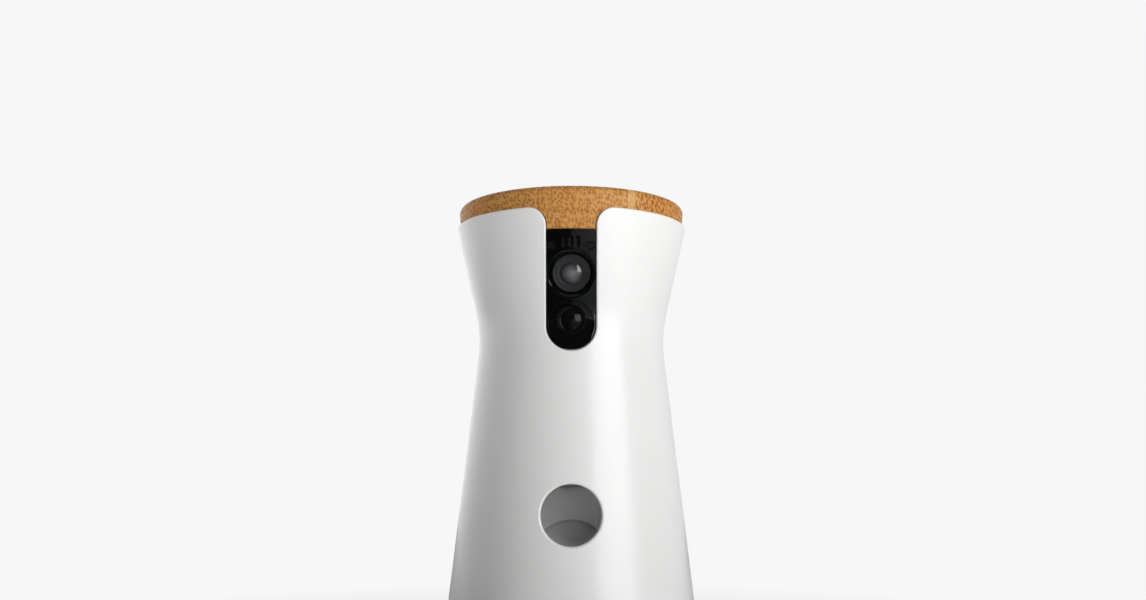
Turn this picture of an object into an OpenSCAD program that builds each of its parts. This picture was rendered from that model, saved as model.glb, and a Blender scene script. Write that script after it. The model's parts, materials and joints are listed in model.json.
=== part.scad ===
// Treat tossing pet camera: a round waisted housing with a wooden lid, a camera
// panel in a slot that opens at the rim, and a round hole that treats fly out of.
// The object stands on z = 0, centred on x = y = 0, and looks towards -Y.

/* [Housing] */
// Radius of the lower cone where it meets the floor plane
base_r = 64.7; // [62:0.1:70]
// Radius at which the two cones would meet
waist_r = 47.1; // [46:0.1:49]
// Radius of the outer edge of the rim
rim_r = 60.2; // [58:0.1:64]
// Height of the rim above the black panel
rim_rise = 11; // [10:0.1:12.5]
// Radius of the blend at the waist
waist_blend = 70; // [50:1:90]
// Thickness of the housing wall
wall = 2.6; // [2:0.1:2.9]

/* [Camera slot] */
// How much wider the slot is than the bevel round the main lens
slot_margin = 1.3; // [1.1:0.1:3]
// Radius of the slot's corners at the rim
slot_corner_r = 9.2; // [6:0.1:10]
// Gap between the black panel and the slot
panel_gap = 0.45; // [0.3:0.05:0.5]
// Thickness of the black panel
panel_t = 2.0; // [1.6:0.1:2.2]
// Height of the black panel above the microphone slots
panel_head = 3.3; // [2.5:0.1:5]

/* [Lenses] */
// Diameter of the bevel round the main lens
main_bevel_d = 23.2; // [22:0.1:23.4]
// Diameter of the hole for the main lens
main_hole_d = 20.4; // [19.6:0.1:21]
// Diameter of the main lens's face
main_face_d = 18.1; // [16:0.1:19]
// Diameter of the main lens's glass
main_glass_d = 10.2; // [8:0.1:12]
// Gap between the bevel round the main lens and the night lamp's dish
lens_gap = 1.1; // [0.9:0.1:3]
// How much smaller the night lamp's dish is than the bevel
dish_step = 1; // [0.6:0.1:3]
// Height of the night lamp's window above the middle of its dish
lamp_lift = 1.7; // [0:0.1:2.4]
// Diameter of the night lamp's window
lamp_d = 14.5; // [12:0.1:15.5]
// Diameter of the night lamp's bulging lens
lamp_lens_d = 10.4; // [8:0.1:11.5]
// Gap between the microphone slots and the bevel round the main lens
mic_gap = 0.7; // [0.6:0.1:2]
// Length of one microphone slot
mic_slot_h = 5.4; // [4:0.1:6]
// Width of one microphone slot
mic_slot_w = 1.8; // [1.2:0.1:2.2]
// Distance between microphone slots
mic_pitch = 3.2; // [2.9:0.1:3.5]
// Distance of the two sensor windows below the middle of the microphone slots
window_drop = 2.1; // [0:0.1:2.4]
// Diameter of a sensor window
sensor_d = 4.3; // [3:0.1:4.4]
// Width of panel left outside a sensor window
sensor_edge = 0.35; // [0.3:0.05:0.9]

/* [Lid] */
// Height of the lid's cap
lid_cap_h = 12.4; // [8:0.2:20]
// Distance of the joint between the lid's cap and its plug below the rim
lid_seam_drop = 1.9; // [1.5:0.1:3]
// Step from the rim in to the side of the lid
lid_step = 1.6; // [1.5:0.1:2]
// Outward lean of the lid's side, in degrees
lid_lean = 5; // [0:0.5:10]
// Radius of the lid's top edge
lid_edge_r = 3; // [1:0.5:5]
// Gap between the lid and the housing
lid_gap = 0.35; // [0.3:0.05:0.45]
// Thickness of the seal round the plug
seal_h = 3; // [2:0.5:4]

/* [Treat hole] */
// Diameter of the hole that treats fly out of
hole_d = 28.6; // [26:0.2:29]
// Height of the centre of the hole
hole_z = 67.4; // [62:0.1:76]
// Thickness of the collar round the hole
collar_t = 1.7; // [1.2:0.1:2]

/* [Base] */
// Height that the rubber foot stands proud of the base
foot_proud = 1.2; // [0.8:0.1:1.5]
// Thickness of the base plate
base_t = 5; // [4.5:0.1:5.5]
// Height of the light ring
light_ring_h = 3; // [2:0.1:3.2]
// Distance of the base screws inside the foot of the housing
base_screw_inset = 8.7; // [8.3:0.1:9.4]
// Radius of the base screws' shanks
screw_r = 1.45; // [1.2:0.05:1.6]

/* [Hopper] */
// Inner radius of the wheel housing under the hopper
wheel_house_r = 38; // [35:0.5:40]
// Height of the underside of the wheel housing above the kicker's shaft
hopper_rise = 13; // [12:0.1:16]
// Thickness of the hopper's walls
hopper_t = 2; // [1.6:0.1:2.2]
// Height of the metering wheel's vanes
vane_h = 17; // [12:1:18]
// Number of vanes on the metering wheel
vane_count = 6; // [4:1:8]
// Thickness of a vane
vane_t = 2.4; // [1.6:0.2:3]
// Diameter of the hole that treats drop through
drop_d = 21; // [18:0.5:21]
// Width of floor left between the drop hole and the wheel housing's wall
drop_edge = 4.5; // [3:0.1:5.5]
// Height of the camera's housing above the drop guard
bay_rise = 7.85; // [6:0.05:12]

/* [Launcher] */
// Gap between the ears that hold the kicker's shaft and the housing
ear_gap = 2; // [1:0.1:3]
// Radius of the chamber's curved floor about the kicker's shaft
floor_r = 50; // [47:0.5:54]
// Half of the width inside the launch chamber
chamber_r = 19; // [18.8:0.1:19.2]
// Thickness of the launch chamber's walls
chamber_t = 2; // [1.6:0.1:2]
// Thickness of the kicker's plate
kicker_t = 2.8; // [2:0.1:3]
// Gap between the kicker and the chamber
kicker_gap = 1; // [0.8:0.1:1.2]
// Radius of the kicker's shaft
shaft_r = 1.5; // [1.2:0.1:1.8]
// Clearance between a shaft and the hole that it turns in
running_gap = 0.05; // [0.03:0.01:0.08]

/* [Gears] */
// Module of the gears that move the kicker
kicker_module = 1; // [0.98:0.01:1]
// Module of the gears at the motor
motor_module = 0.8; // [0.78:0.01:0.8]
// Width of a gear
gear_w = 3.4; // [3:0.1:3.4]
// Play between the teeth of two gears
backlash = 0.25; // [0.2:0.05:0.3]

/* [Electronics] */
// Diameter of the loudspeaker
speaker_d = 36; // [32:1:39]
// Diameter of one hole of the loudspeaker's grille
grille_hole_d = 1.8; // [1.2:0.1:2.2]
// Distance between rows of the grille
grille_pitch = 4; // [3.6:0.1:4.2]
// Height of the power socket's centre
socket_z = 15; // [14.9:0.1:15.2]
// Diameter of the reset button
button_d = 5; // [4:0.2:5.4]
// Travel of the reset button
button_travel = 0.8; // [0.5:0.1:0.8]
// Thickness of a circuit board
board_t = 1.4; // [1:0.1:1.6]

/* [Hidden] */

far = 80;                 // longer than any cut needs
eps = 0.01;
round_fn = 180;
small_fn = 48;

// --- heights that stack up from the floor ---
base_z = foot_proud;
light_z = base_z + base_t;
shell_z = light_z + light_ring_h;
foot_groove = 1;
base_floor_t = base_t / 2;
base_floor_z = base_z + base_floor_t;
hole_sill = 0.1;
chamber_floor_z = hole_z - hole_d / 2 - hole_sill;
pivot_z = chamber_floor_z + floor_r;
hopper_z = pivot_z + hopper_rise;
wheel_floor_z = hopper_z + hopper_t;
vane_z = wheel_floor_z + 1;
vane_top_z = vane_z + vane_h;
guard_z = vane_top_z + 1.2;
guard_t = 2;
bay_z = guard_z + guard_t + bay_rise;

// --- heights on the camera panel ---
slot_w = main_bevel_d + slot_margin;
slot_r = slot_w / 2;
slot_end_lap = 1.4;
slot_bottom_z = bay_z + slot_r - slot_end_lap;
waist_z = slot_bottom_z - 0.1;
lamp_dish_d = main_bevel_d - dish_step;
lamp_dish_z = slot_bottom_z + 0.8;
lamp_z = lamp_dish_z + lamp_lift;
main_lens_z = lamp_dish_z + lamp_dish_d / 2 + lens_gap + main_bevel_d / 2;
mic_z = main_lens_z + main_bevel_d / 2 + mic_gap + mic_slot_h / 2;
window_z = mic_z - window_drop;
sensor_pitch = 2 * (slot_r - panel_gap - sensor_edge - sensor_d / 2);
panel_top_z = mic_z + mic_slot_h / 2 + panel_head;
rim_z = panel_top_z + rim_rise;
lid_seam_z = rim_z - lid_seam_drop;
lid_top_z = lid_seam_z + lid_cap_h;

// --- the housing's two cones and the blend between them ---
low_angle = atan((base_r - waist_r) / waist_z);
up_angle = atan((rim_r - waist_r) / (rim_z - waist_z));
mean_angle = (low_angle + up_angle) / 2;
blend_z = waist_z + waist_blend / cos(mean_angle) * sin((low_angle - up_angle) / 2);
blend_r = waist_r + waist_blend / cos(mean_angle) * cos((low_angle - up_angle) / 2);

// Radius of the lower and upper cone at height z, a distance t inside the surface
function low_r(z, t = 0) = base_r - z * tan(low_angle) - t / cos(low_angle);
function up_r(z, t = 0) = waist_r + (z - waist_z) * tan(up_angle) - t / cos(up_angle);
// Radius and lean of the blended surface at a height within the blend
function blend_lean(z, t = 0) = asin((z - blend_z) / (waist_blend + t));
function skin_r(z, t = 0) =
  let (lean = blend_lean(z, t))
  lean < -low_angle ? low_r(z, t) :
  lean > up_angle ? up_r(z, t) :
  blend_r - (waist_blend + t) * cos(lean);
function skin_lean(z) = max(-low_angle, min(up_angle, blend_lean(z)));

module skin_2d(t, z0, z1) {
  outer = waist_blend + t;
  difference() {
    polygon([
      [0, z0], [low_r(z0, t), z0],
      [blend_r - outer * cos(low_angle), blend_z - outer * sin(low_angle)],
      [blend_r - outer * cos(up_angle), blend_z + outer * sin(up_angle)],
      [up_r(z1, t), z1], [0, z1]
    ]);
    translate([blend_r, blend_z]) circle(r = outer, $fn = 240);
  }
}

// A solid of the housing's form between two heights, below or above the blend
module low_solid(t, z0, z1) {
  rotate_extrude($fn = round_fn) polygon([[0, z0], [low_r(z0, t), z0], [low_r(z1, t), z1], [0, z1]]);
}
module skin_solid(t, z0, z1) {
  rotate_extrude($fn = round_fn) skin_2d(t, z0, z1);
}

// --- the slot, seen from the front ---
module slot_2d(inset) {
  w = slot_r - inset;
  c = slot_corner_r + inset;
  translate([0, slot_bottom_z]) circle(r = w, $fn = 96);
  translate([-w, slot_bottom_z]) square([2 * w, far]);
  difference() {
    translate([-w - c, rim_z - slot_corner_r]) square([2 * (w + c), 2 * slot_corner_r]);
    for (side = [-1, 1])
      translate([side * (w + c), rim_z - slot_corner_r]) circle(r = c, $fn = 96);
  }
}
module slot_cut(inset) {
  translate([0, -waist_r / 2, 0]) rotate([90, 0, 0]) linear_extrude(far) slot_2d(inset);
}
// Places children on the panel's surface, with +Z pointing straight out of it
module on_panel(z, depth = 0) {
  translate([0, -skin_r(z), z]) rotate([90 + skin_lean(z), 0, 0]) translate([0, 0, -depth]) children();
}

// --- rim and lid ---
function lid_r(z) = up_r(lid_seam_z, lid_step) + (z - lid_seam_z) * tan(lid_lean);
ledge_z = lid_seam_z - 0.3;
plug_bottom_z = panel_top_z + 0.4;
plug_t = wall + 1;
seal_t = wall + lid_gap;
seal_z = plug_bottom_z + 2.4;

// --- screws through the base, just inside the wall ---
base_screw_ring_r = base_r - base_screw_inset;
module at_base_screws() {
  for (k = [0:3]) rotate([0, 0, 45 + 90 * k]) translate([base_screw_ring_r, 0, 0]) children();
}
screw_fit = 0.05;
screw_pass = 0.25;
head_r = 2 * screw_r;
head_h = 1.8;
boss_r = screw_r + 2.1;
boss_h = 18;
boss_web_t = 2.4;
boss_web_gap = 0.4;
screw_seat_z = base_z + foot_groove + head_h;

// --- power socket and reset button, low on the back ---
socket_w = 9;
socket_h = 3.2;
socket_gap = 0.25;
button_x = 15;
button_gap = 0.35;
button_z = socket_z + 0.4;
power_board_z = socket_z - socket_h / 2 - board_t;
module along_y(y) { translate([0, y, 0]) rotate([-90, 0, 0]) children(); }

// --- hopper and metering wheel ---
hopper_gap = 0.6;
hopper_top_z = plug_bottom_z - 1.6;
wheel_out_r = wheel_house_r + hopper_t;
funnel_z = guard_z + guard_t + 1.6;
vane_r = wheel_house_r - 1;
hub_r = 8;
drop_r = drop_d / 2;
drop_y = wheel_house_r - drop_r - drop_edge;
spout_t = 1.5;
spout_z = pivot_z + 5.6;
shelf_t = 3;
shelf_z = hopper_z - shelf_t;
wheel_shaft_r = 2;
wheel_motor_r = drop_y - drop_r - spout_t - 1;
wheel_motor_h = 21.4;

// --- bay that the camera hangs in, in front of the hopper ---
bay_w = slot_w + 4.5;
bay_gap = 0.5;
camera_t = 1.6;
barrel_face = 0.9;       // depth of the main lens's face behind the surface
barrel_l = 15;
image_board_depth = barrel_face + barrel_l + board_t;
image_board_h = 21;
bay_room = 0.18;
bay_y = skin_r(main_lens_z) - image_board_depth * cos(skin_lean(main_lens_z))
  - image_board_h / 2 * sin(skin_lean(main_lens_z)) - camera_t - bay_room;
bay_top_z = panel_top_z - 0.5;
flex_t = 0.4;
flex_w = 7;
flex_r = (wheel_out_r + skin_r(bay_z, wall)) / 2;
flex_x = 9;
flex_z = spout_z + 1.4;

// --- launch chamber and kicker ---
ear_r = 6;
pivot_y = sqrt(pow(low_r(pivot_z, wall), 2) - pow(chamber_r + chamber_t, 2)) - ear_r - ear_gap;
chamber_y = pivot_y - chamber_r + 5.2;
chamber_z = chamber_floor_z - 4;
chamber_top_z = hopper_z - wheel_motor_h - 0.6;
chamber_skin_gap = 0.6;
kicker_out_r = chamber_r - kicker_gap;
kicker_in_r = kicker_out_r - kicker_t;
kicker_hub_r = 3.6;
kicker_plate_top_z = chamber_floor_z + 27;
plate_fit = 0.02;

// --- gear train beside the chamber, all axes along X ---
sector_teeth = 60;
snap_teeth = 20;
wheel_teeth = 40;
pinion_teeth = 10;
train_angle = -28.3;
sector_span = [-1, 6];
snap_span = [0, 6];
snap_d = kicker_module * (sector_teeth + snap_teeth) / 2;
motor_d = snap_d + motor_module * (wheel_teeth + pinion_teeth) / 2;
snap_y = -pivot_y + snap_d * cos(train_angle);
snap_z = pivot_z + snap_d * sin(train_angle);
motor_y = -pivot_y + motor_d * cos(train_angle);
motor_z = pivot_z + motor_d * sin(train_angle);
plate_t = 1.5;
plate_x = chamber_r + chamber_t + 0.3;
gear_x = plate_x + plate_t + 0.7;
big_gear_x = gear_x + gear_w + 0.6;
motor_body_r = 10;
motor_body_l = 25;
motor_shaft_r = 1;
clip_t = 0.7;

// Places children in the plane across X: their X is the model's Y, their Y its Z
module across_x(x, y, z) {
  translate([x, y, z]) rotate([90, 0, 90]) children();
}
function involute(a) = tan(a) * 180 / PI - a;
// One flank's half angle at radius r, for a gear of n teeth and module m
function flank(n, m, r) =
  let (pitch = n * m / 2, foot = pitch * cos(20), at = acos(min(1, foot / r)))
  90 / n - backlash / 2 / pitch * 90 / PI + involute(20) - involute(at);
function polar(r, a) = [r * cos(a), r * sin(a)];
function tooth(n, m, a) =
  let (low = m * (n / 2 - 1.25), foot = max(low, n * m / 2 * cos(20)), top = m * (n / 2 + 0.9))
  [for (s = [-1, 1]) each
    (s < 0
      ? [polar(low, a - flank(n, m, foot)), polar(foot, a - flank(n, m, foot)),
         polar(n * m / 2, a - flank(n, m, n * m / 2)), polar(top, a - flank(n, m, top))]
      : [polar(top, a + flank(n, m, top)), polar(n * m / 2, a + flank(n, m, n * m / 2)),
         polar(foot, a + flank(n, m, foot)), polar(low, a + flank(n, m, foot))])];
module gear_2d(n, m, first = 0, last = -1) {
  end = last < 0 ? n - 1 : last;
  polygon([for (k = [first:end]) each tooth(n, m, 360 / n * k)]);
}

// --- chassis and boards ---
spine_y = motor_y + motor_body_r + 2.2;
spine_t = 3;
spine_back = spine_y + spine_t;
frame_edge_gap = 0.7;
frame_x = sqrt(pow(flex_r - frame_edge_gap, 2) - pow(spine_back, 2));
deck_t = 3;
deck_z = chamber_z - deck_t;
leg_front = 34;
leg_t = 3;
chassis_screw_y = 20;
chassis_boss_h = 6;
standoff_h = 3;
board_y = spine_back + standoff_h;
board_x = frame_x - 5;
board_h = 40;
board_z1 = pivot_z + 5;
board_z0 = board_z1 - board_h;
shield_t = 2.4;
connector_t = 4;
flex_back_y = board_y + board_t + connector_t;
flex_back_x = sqrt(pow(flex_r, 2) - pow(flex_back_y, 2));
speaker_rim_t = 2;
speaker_r = speaker_d / 2;
speaker_z = board_z0 - 4 - speaker_r;
gasket_t = 1;
speaker_y = sqrt(pow(low_r(speaker_z + speaker_r, wall), 2) - pow(speaker_r, 2)) - speaker_rim_t - gasket_t - 0.4;

module body_shell() {
  color("white") difference() {
    union() {
      difference() {
        skin_solid(0, shell_z, rim_z);
        skin_solid(wall, shell_z - 1, rim_z + 1);
        rotate_extrude($fn = round_fn)
          polygon([[0, ledge_z], [up_r(ledge_z, lid_step - lid_gap), ledge_z],
                   [up_r(rim_z + 1, lid_step - lid_gap), rim_z + 1], [0, rim_z + 1]]);
      }
      intersection() {
        translate([0, 0, hole_z]) rotate([90, 0, 0])
          cylinder(r = hole_d / 2 + collar_t, h = far, $fn = 96);
        difference() {
          low_solid(0.5, shell_z, hole_z + hole_d);
          low_solid(wall + 2, shell_z - 1, hole_z + hole_d + 1);
        }
      }
      intersection() {
        at_base_screws() translate([0, 0, shell_z]) {
          cylinder(r = boss_r, h = boss_h, $fn = small_fn);
          translate([0, -boss_web_t / 2, 0]) cube([far, boss_web_t, boss_h]);
        }
        low_solid(wall / 2, shell_z, shell_z + boss_h);
      }
    }
    slot_cut(0);
    translate([0, 0, hole_z]) rotate([90, 0, 0]) cylinder(d = hole_d, h = far, $fn = 96);
    at_base_screws() translate([0, 0, shell_z - 1])
      cylinder(r = screw_r + screw_fit, h = boss_h - 1, $fn = small_fn);
    grille();
    translate([0, waist_r, socket_z]) cube([socket_w + 2 * socket_gap, 60, socket_h + 2 * socket_gap], center = true);
    translate([-button_x, 0, button_z]) along_y(waist_r)
      cylinder(r = button_d / 2 + button_gap, h = far, $fn = small_fn);
  }
}

// Five rows of small round holes in front of the loudspeaker
module grille() {
  for (row = [-2:2])
    for (k = [0:4 - abs(row)])
      translate([(k - (4 - abs(row)) / 2) * grille_pitch, 0, speaker_z + row * grille_pitch * sqrt(3) / 2])
        along_y(waist_r) cylinder(d = grille_hole_d, h = far, $fn = 24);
}

module lid_cap() {
  edge = lid_r(lid_top_z - lid_edge_r) - lid_edge_r;
  color("burlywood") rotate_extrude($fn = round_fn) intersection() {
    polygon([[0, lid_seam_z], [lid_r(lid_seam_z), lid_seam_z],
             [lid_r(lid_top_z), lid_top_z], [0, lid_top_z]]);
    union() {
      translate([0, lid_seam_z]) square([edge, lid_top_z - lid_seam_z]);
      translate([0, lid_seam_z]) square([far, lid_top_z - lid_edge_r - lid_seam_z]);
      translate([edge, lid_top_z - lid_edge_r]) circle(r = lid_edge_r, $fn = 64);
    }
  }
}

module lid_plug() {
  color("peru") difference() {
    union() {
      rotate_extrude($fn = round_fn)
        polygon([[0, plug_bottom_z], [up_r(plug_bottom_z, plug_t), plug_bottom_z],
                 [up_r(lid_seam_z, plug_t), lid_seam_z], [0, lid_seam_z]]);
      intersection() {
        rotate_extrude($fn = round_fn)
          polygon([[0, plug_bottom_z], [up_r(plug_bottom_z, lid_step), plug_bottom_z],
                   [up_r(lid_seam_z, lid_step), lid_seam_z], [0, lid_seam_z]]);
        slot_cut(lid_gap);
      }
    }
    seal_ring(plug_t + 1, plug_t - 0.5);
  }
}

// The space between two distances inside the surface, at the height of the seal
module seal_ring(t_in, t_out) {
  difference() {
    rotate_extrude($fn = round_fn)
      polygon([[up_r(seal_z, t_in), seal_z], [up_r(seal_z, t_out), seal_z],
               [up_r(seal_z + seal_h, t_out), seal_z + seal_h],
               [up_r(seal_z + seal_h, t_in), seal_z + seal_h]]);
    slot_cut(-1);
  }
}
module lid_seal() {
  color("gainsboro") seal_ring(plug_t + 1, seal_t);
}

module camera_panel() {
  panel_back = 0.35 + panel_t;
  color("black") difference() {
    intersection() {
      difference() {
        skin_solid(0.35, slot_bottom_z - slot_r, panel_top_z);
        skin_solid(panel_back, slot_bottom_z - slot_r - 1, panel_top_z + 1);
      }
      slot_cut(panel_gap);
    }
    on_panel(main_lens_z, 6) cylinder(d = main_hole_d, h = 10, $fn = 96);
    on_panel(main_lens_z, 1.3) cylinder(d1 = main_hole_d, d2 = main_bevel_d + 0.6, h = 1.3, $fn = 96);
    on_panel(lamp_dish_z, 1.1) cylinder(d = lamp_dish_d, h = 4, $fn = 96);
    on_panel(lamp_z, 6) cylinder(d = lamp_d, h = 10, $fn = 96);
    for (k = [-1:1]) on_panel(mic_z, 4) translate([k * mic_pitch, 0, 0]) {
      translate([-mic_slot_w / 2, -mic_slot_h / 2 + mic_slot_w / 2, 0])
        cube([mic_slot_w, mic_slot_h - mic_slot_w, 6]);
      for (side = [-1, 1]) translate([0, side * (mic_slot_h - mic_slot_w) / 2, 0])
        cylinder(d = mic_slot_w, h = 6, $fn = 32);
    }
    at_sensors(4) cylinder(d = sensor_d, h = 6, $fn = small_fn);
  }
}
module at_sensors(depth) {
  for (side = [-1, 1]) on_panel(window_z, depth) translate([side * sensor_pitch / 2, 0, 0]) children();
}

barrel_gap = 0.1;
module main_lens_barrel() {
  color("dimgray") difference() {
    union() {
      on_panel(main_lens_z, barrel_face + 5) cylinder(d = main_face_d, h = 5, $fn = 96);
      on_panel(main_lens_z, barrel_face + barrel_l) cylinder(d = main_face_d - 3.6, h = barrel_l - 4, $fn = 96);
    }
    on_panel(main_lens_z, barrel_face + 3) cylinder(d = main_glass_d, h = 4, $fn = 96);
  }
}
module main_lens_glass() {
  glass_r = main_glass_d / 2 - barrel_gap;
  dome = 14;
  color("slategray") intersection() {
    on_panel(main_lens_z, barrel_face + 3) cylinder(r = glass_r, h = 6, $fn = 96);
    on_panel(main_lens_z, barrel_face + dome - 0.9) sphere(r = dome, $fn = 96);
  }
}
module image_sensor_board() {
  color("darkgreen") on_panel(main_lens_z, image_board_depth)
    translate([-bay_w / 2 + camera_t + 0.4, -image_board_h / 2, 0])
      cube([bay_w - 2 * camera_t - 0.8, image_board_h, board_t]);
}

lamp_face = 1.5;
module night_lamp_window() {
  color("gray") difference() {
    on_panel(lamp_z, lamp_face + 1.2) cylinder(r = lamp_d / 2 - plate_fit, h = 1.2, $fn = 96);
    on_panel(lamp_z, lamp_face + 2) cylinder(d = lamp_lens_d, h = 4, $fn = 96);
  }
}
lamp_stack = 5.4;
function lamp_board_y_front() = -skin_r(lamp_z) + lamp_stack;
function flex_y() = -sqrt(pow(flex_r, 2) - pow(flex_x, 2)) - flex_t / 2;
module night_lamp_lens() {
  bulge = 9;
  lens_r = lamp_lens_d / 2 - barrel_gap;
  color("black") intersection() {
    on_panel(lamp_z, 10) cylinder(r = lens_r, h = 12, $fn = 96);
    on_panel(lamp_z, lamp_face + bulge - 1) sphere(r = bulge, $fn = 96);
    translate([-far / 2, -far + lamp_board_y_front(), lamp_z - far / 2]) cube(far);
  }
}
module night_lamp_board() {
  color("darkgreen") translate([-bay_w / 2 + camera_t + 0.4, lamp_board_y_front(), bay_z + camera_t + 0.4])
    cube([bay_w - 2 * camera_t - 0.8, board_t, lamp_z + lamp_d / 2 - bay_z - camera_t]);
}

// The strip board behind the panel's upper end, with what stands on it
strip_depth = 6;
strip_gap = 0.3;
strip_roof = bay_top_z - camera_t - strip_gap - mic_z - (strip_depth + board_t) * sin(skin_lean(mic_z));
strip_reach = strip_roof / cos(skin_lean(mic_z));
strip_drop = 5.5;
module sensor_board() {
  color("darkgreen") on_panel(mic_z, strip_depth)
    translate([-bay_w / 2 + camera_t, -strip_drop, -board_t])
      cube([bay_w - 2 * camera_t, strip_drop + strip_reach, board_t]);
}
module microphones() {
  mic_h = strip_depth - panel_t - 1;
  color("black") for (k = [-1:1])
    on_panel(mic_z, strip_depth) translate([k * mic_pitch - mic_pitch / 2 + 0.25, -strip_reach, 0])
      cube([mic_pitch - 0.5, 2 * strip_reach, mic_h]);
}
module light_sensors() {
  sunk = 1.3;
  color("black") at_sensors(strip_depth)
    cylinder(r = sensor_d / 2 - barrel_gap, h = strip_depth - sunk, $fn = small_fn);
}

module camera_housing() {
  color("dimgray") difference() {
    intersection() {
      translate([-bay_w / 2, -far, bay_z]) cube([bay_w, far - bay_y, bay_top_z - bay_z]);
      skin_solid(wall + 0.4, bay_z - 1, rim_z);
    }
    translate([-bay_w / 2 + camera_t, -far, bay_z + camera_t])
      cube([bay_w - 2 * camera_t, far - bay_y - camera_t, bay_top_z - bay_z - 2 * camera_t]);
    flex_slot();
  }
}
module flex_slot() {
  low = funnel_z - 2;
  translate([-flex_x - flex_w / 2 - 0.6, flex_y() - 1.2, low]) cube([flex_w + 1.2, flex_t + 1.8, bay_z + 4 - low]);
}
module camera_flex() {
  color("sienna") {
    translate([-flex_x - flex_w / 2, flex_y(), flex_z]) cube([flex_w, flex_t, bay_z + camera_t + 0.4 - flex_z]);
    rotate([0, 0, 90 + atan(flex_back_x / flex_back_y)])
      rotate_extrude(angle = 180 - atan(flex_back_x / flex_back_y) - atan(flex_x / -flex_y()), $fn = round_fn)
        translate([flex_r - flex_t / 2, flex_z]) square([flex_t, flex_w]);
    translate([-flex_back_x - flex_w / 2, flex_back_y, board_z1 - 8]) cube([flex_w, flex_t, flex_z + flex_w - board_z1 + 8]);
  }
}

module hopper_outer_2d() {
  intersection() {
    skin_2d(wall + hopper_gap, hopper_z, hopper_top_z);
    polygon([[0, hopper_z], [wheel_out_r, hopper_z], [wheel_out_r, funnel_z - 0.8],
             [wheel_out_r + 20, funnel_z + 19.2], [wheel_out_r + 20, hopper_top_z], [0, hopper_top_z]]);
  }
}
module hopper_inner_2d() {
  intersection() {
    skin_2d(wall + hopper_gap + hopper_t, wheel_floor_z, hopper_top_z + 1);
    polygon([[0, wheel_floor_z], [wheel_house_r, wheel_floor_z], [wheel_house_r, funnel_z],
             [wheel_house_r + 22, funnel_z + 22], [wheel_house_r + 22, hopper_top_z + 1],
             [0, hopper_top_z + 1]]);
  }
}
module treat_hopper() {
  bay_cut = bay_w / 2 + bay_gap;
  color("whitesmoke") difference() {
    union() {
      difference() {
        rotate_extrude($fn = round_fn) hopper_outer_2d();
        difference() {
          rotate_extrude($fn = round_fn) hopper_inner_2d();
          translate([-bay_cut - hopper_t, -far, bay_z - bay_gap - hopper_t])
            cube([2 * (bay_cut + hopper_t), far - bay_y + bay_gap + hopper_t, far]);
        }
        translate([-bay_cut, -far, bay_z - bay_gap]) cube([2 * bay_cut, far - bay_y + bay_gap, far]);
      }
      translate([0, -drop_y, spout_z]) cylinder(r = drop_r + spout_t, h = hopper_z - spout_z + 1, $fn = 96);
    }
    translate([0, -drop_y, spout_z - 1]) cylinder(r = drop_r, h = wheel_floor_z - spout_z + 2, $fn = 96);
    translate([0, 0, hopper_z - 1]) cylinder(r = wheel_shaft_r + 1, h = hopper_t + 2, $fn = small_fn);
    at_hopper_screws() translate([0, 0, hopper_z - 1])
      cylinder(r = hopper_screw_r + screw_fit, h = hopper_t + 0.8, $fn = small_fn);
    flex_slot();
  }
}
hopper_screw_r = 1.2;
module at_hopper_screws() {
  for (place = [[-wheel_house_r + 8, 0], [wheel_house_r - 8, 0],
      [-drop_r - 9.5, -drop_y - 1], [drop_r + 9.5, -drop_y - 1]])
    translate([place[0], place[1], 0]) children();
}
module hopper_screws() {
  color("silver") at_hopper_screws() {
    translate([0, 0, shelf_z - 1.6]) cylinder(r = 2 * hopper_screw_r, h = 1.6, $fn = small_fn);
    translate([0, 0, shelf_z - 1]) cylinder(r = hopper_screw_r, h = shelf_t + hopper_t + 0.6, $fn = small_fn);
  }
}
module drop_guard() {
  color("whitesmoke") difference() {
    intersection() {
      translate([0, 0, guard_z]) cylinder(r = wheel_house_r, h = guard_t, $fn = round_fn);
      translate([0, 0, guard_z - 1]) linear_extrude(guard_t + 2)
        polygon([[0, 0], [-32, -far], [32, -far]]);
    }
    translate([0, 0, guard_z - 1]) cylinder(r = hub_r + 2, h = guard_t + 2, $fn = small_fn);
  }
}
module metering_wheel() {
  color("lightgray") difference() {
    union() {
      translate([0, 0, vane_z]) cylinder(r = hub_r, h = vane_h, $fn = small_fn);
      for (k = [0:vane_count - 1]) rotate([0, 0, 360 / vane_count * k + 15])
        translate([hub_r - 2, -vane_t / 2, vane_z]) cube([vane_r - hub_r + 2, vane_t, vane_h]);
    }
    translate([0, 0, vane_z - 1]) cylinder(r = wheel_shaft_r + plate_fit, h = vane_h - 3, $fn = small_fn);
  }
}
module wheel_shaft() {
  color("silver") translate([0, 0, hopper_z - 6]) cylinder(r = wheel_shaft_r, h = vane_z + vane_h - 4 - hopper_z + 6, $fn = small_fn);
}
module wheel_motor() {
  color("silver") difference() {
    translate([0, 0, hopper_z - wheel_motor_h]) cylinder(r = wheel_motor_r, h = wheel_motor_h, $fn = 64);
    translate([0, 0, hopper_z - 7]) cylinder(r = wheel_shaft_r + running_gap, h = 8, $fn = small_fn);
  }
}

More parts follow.
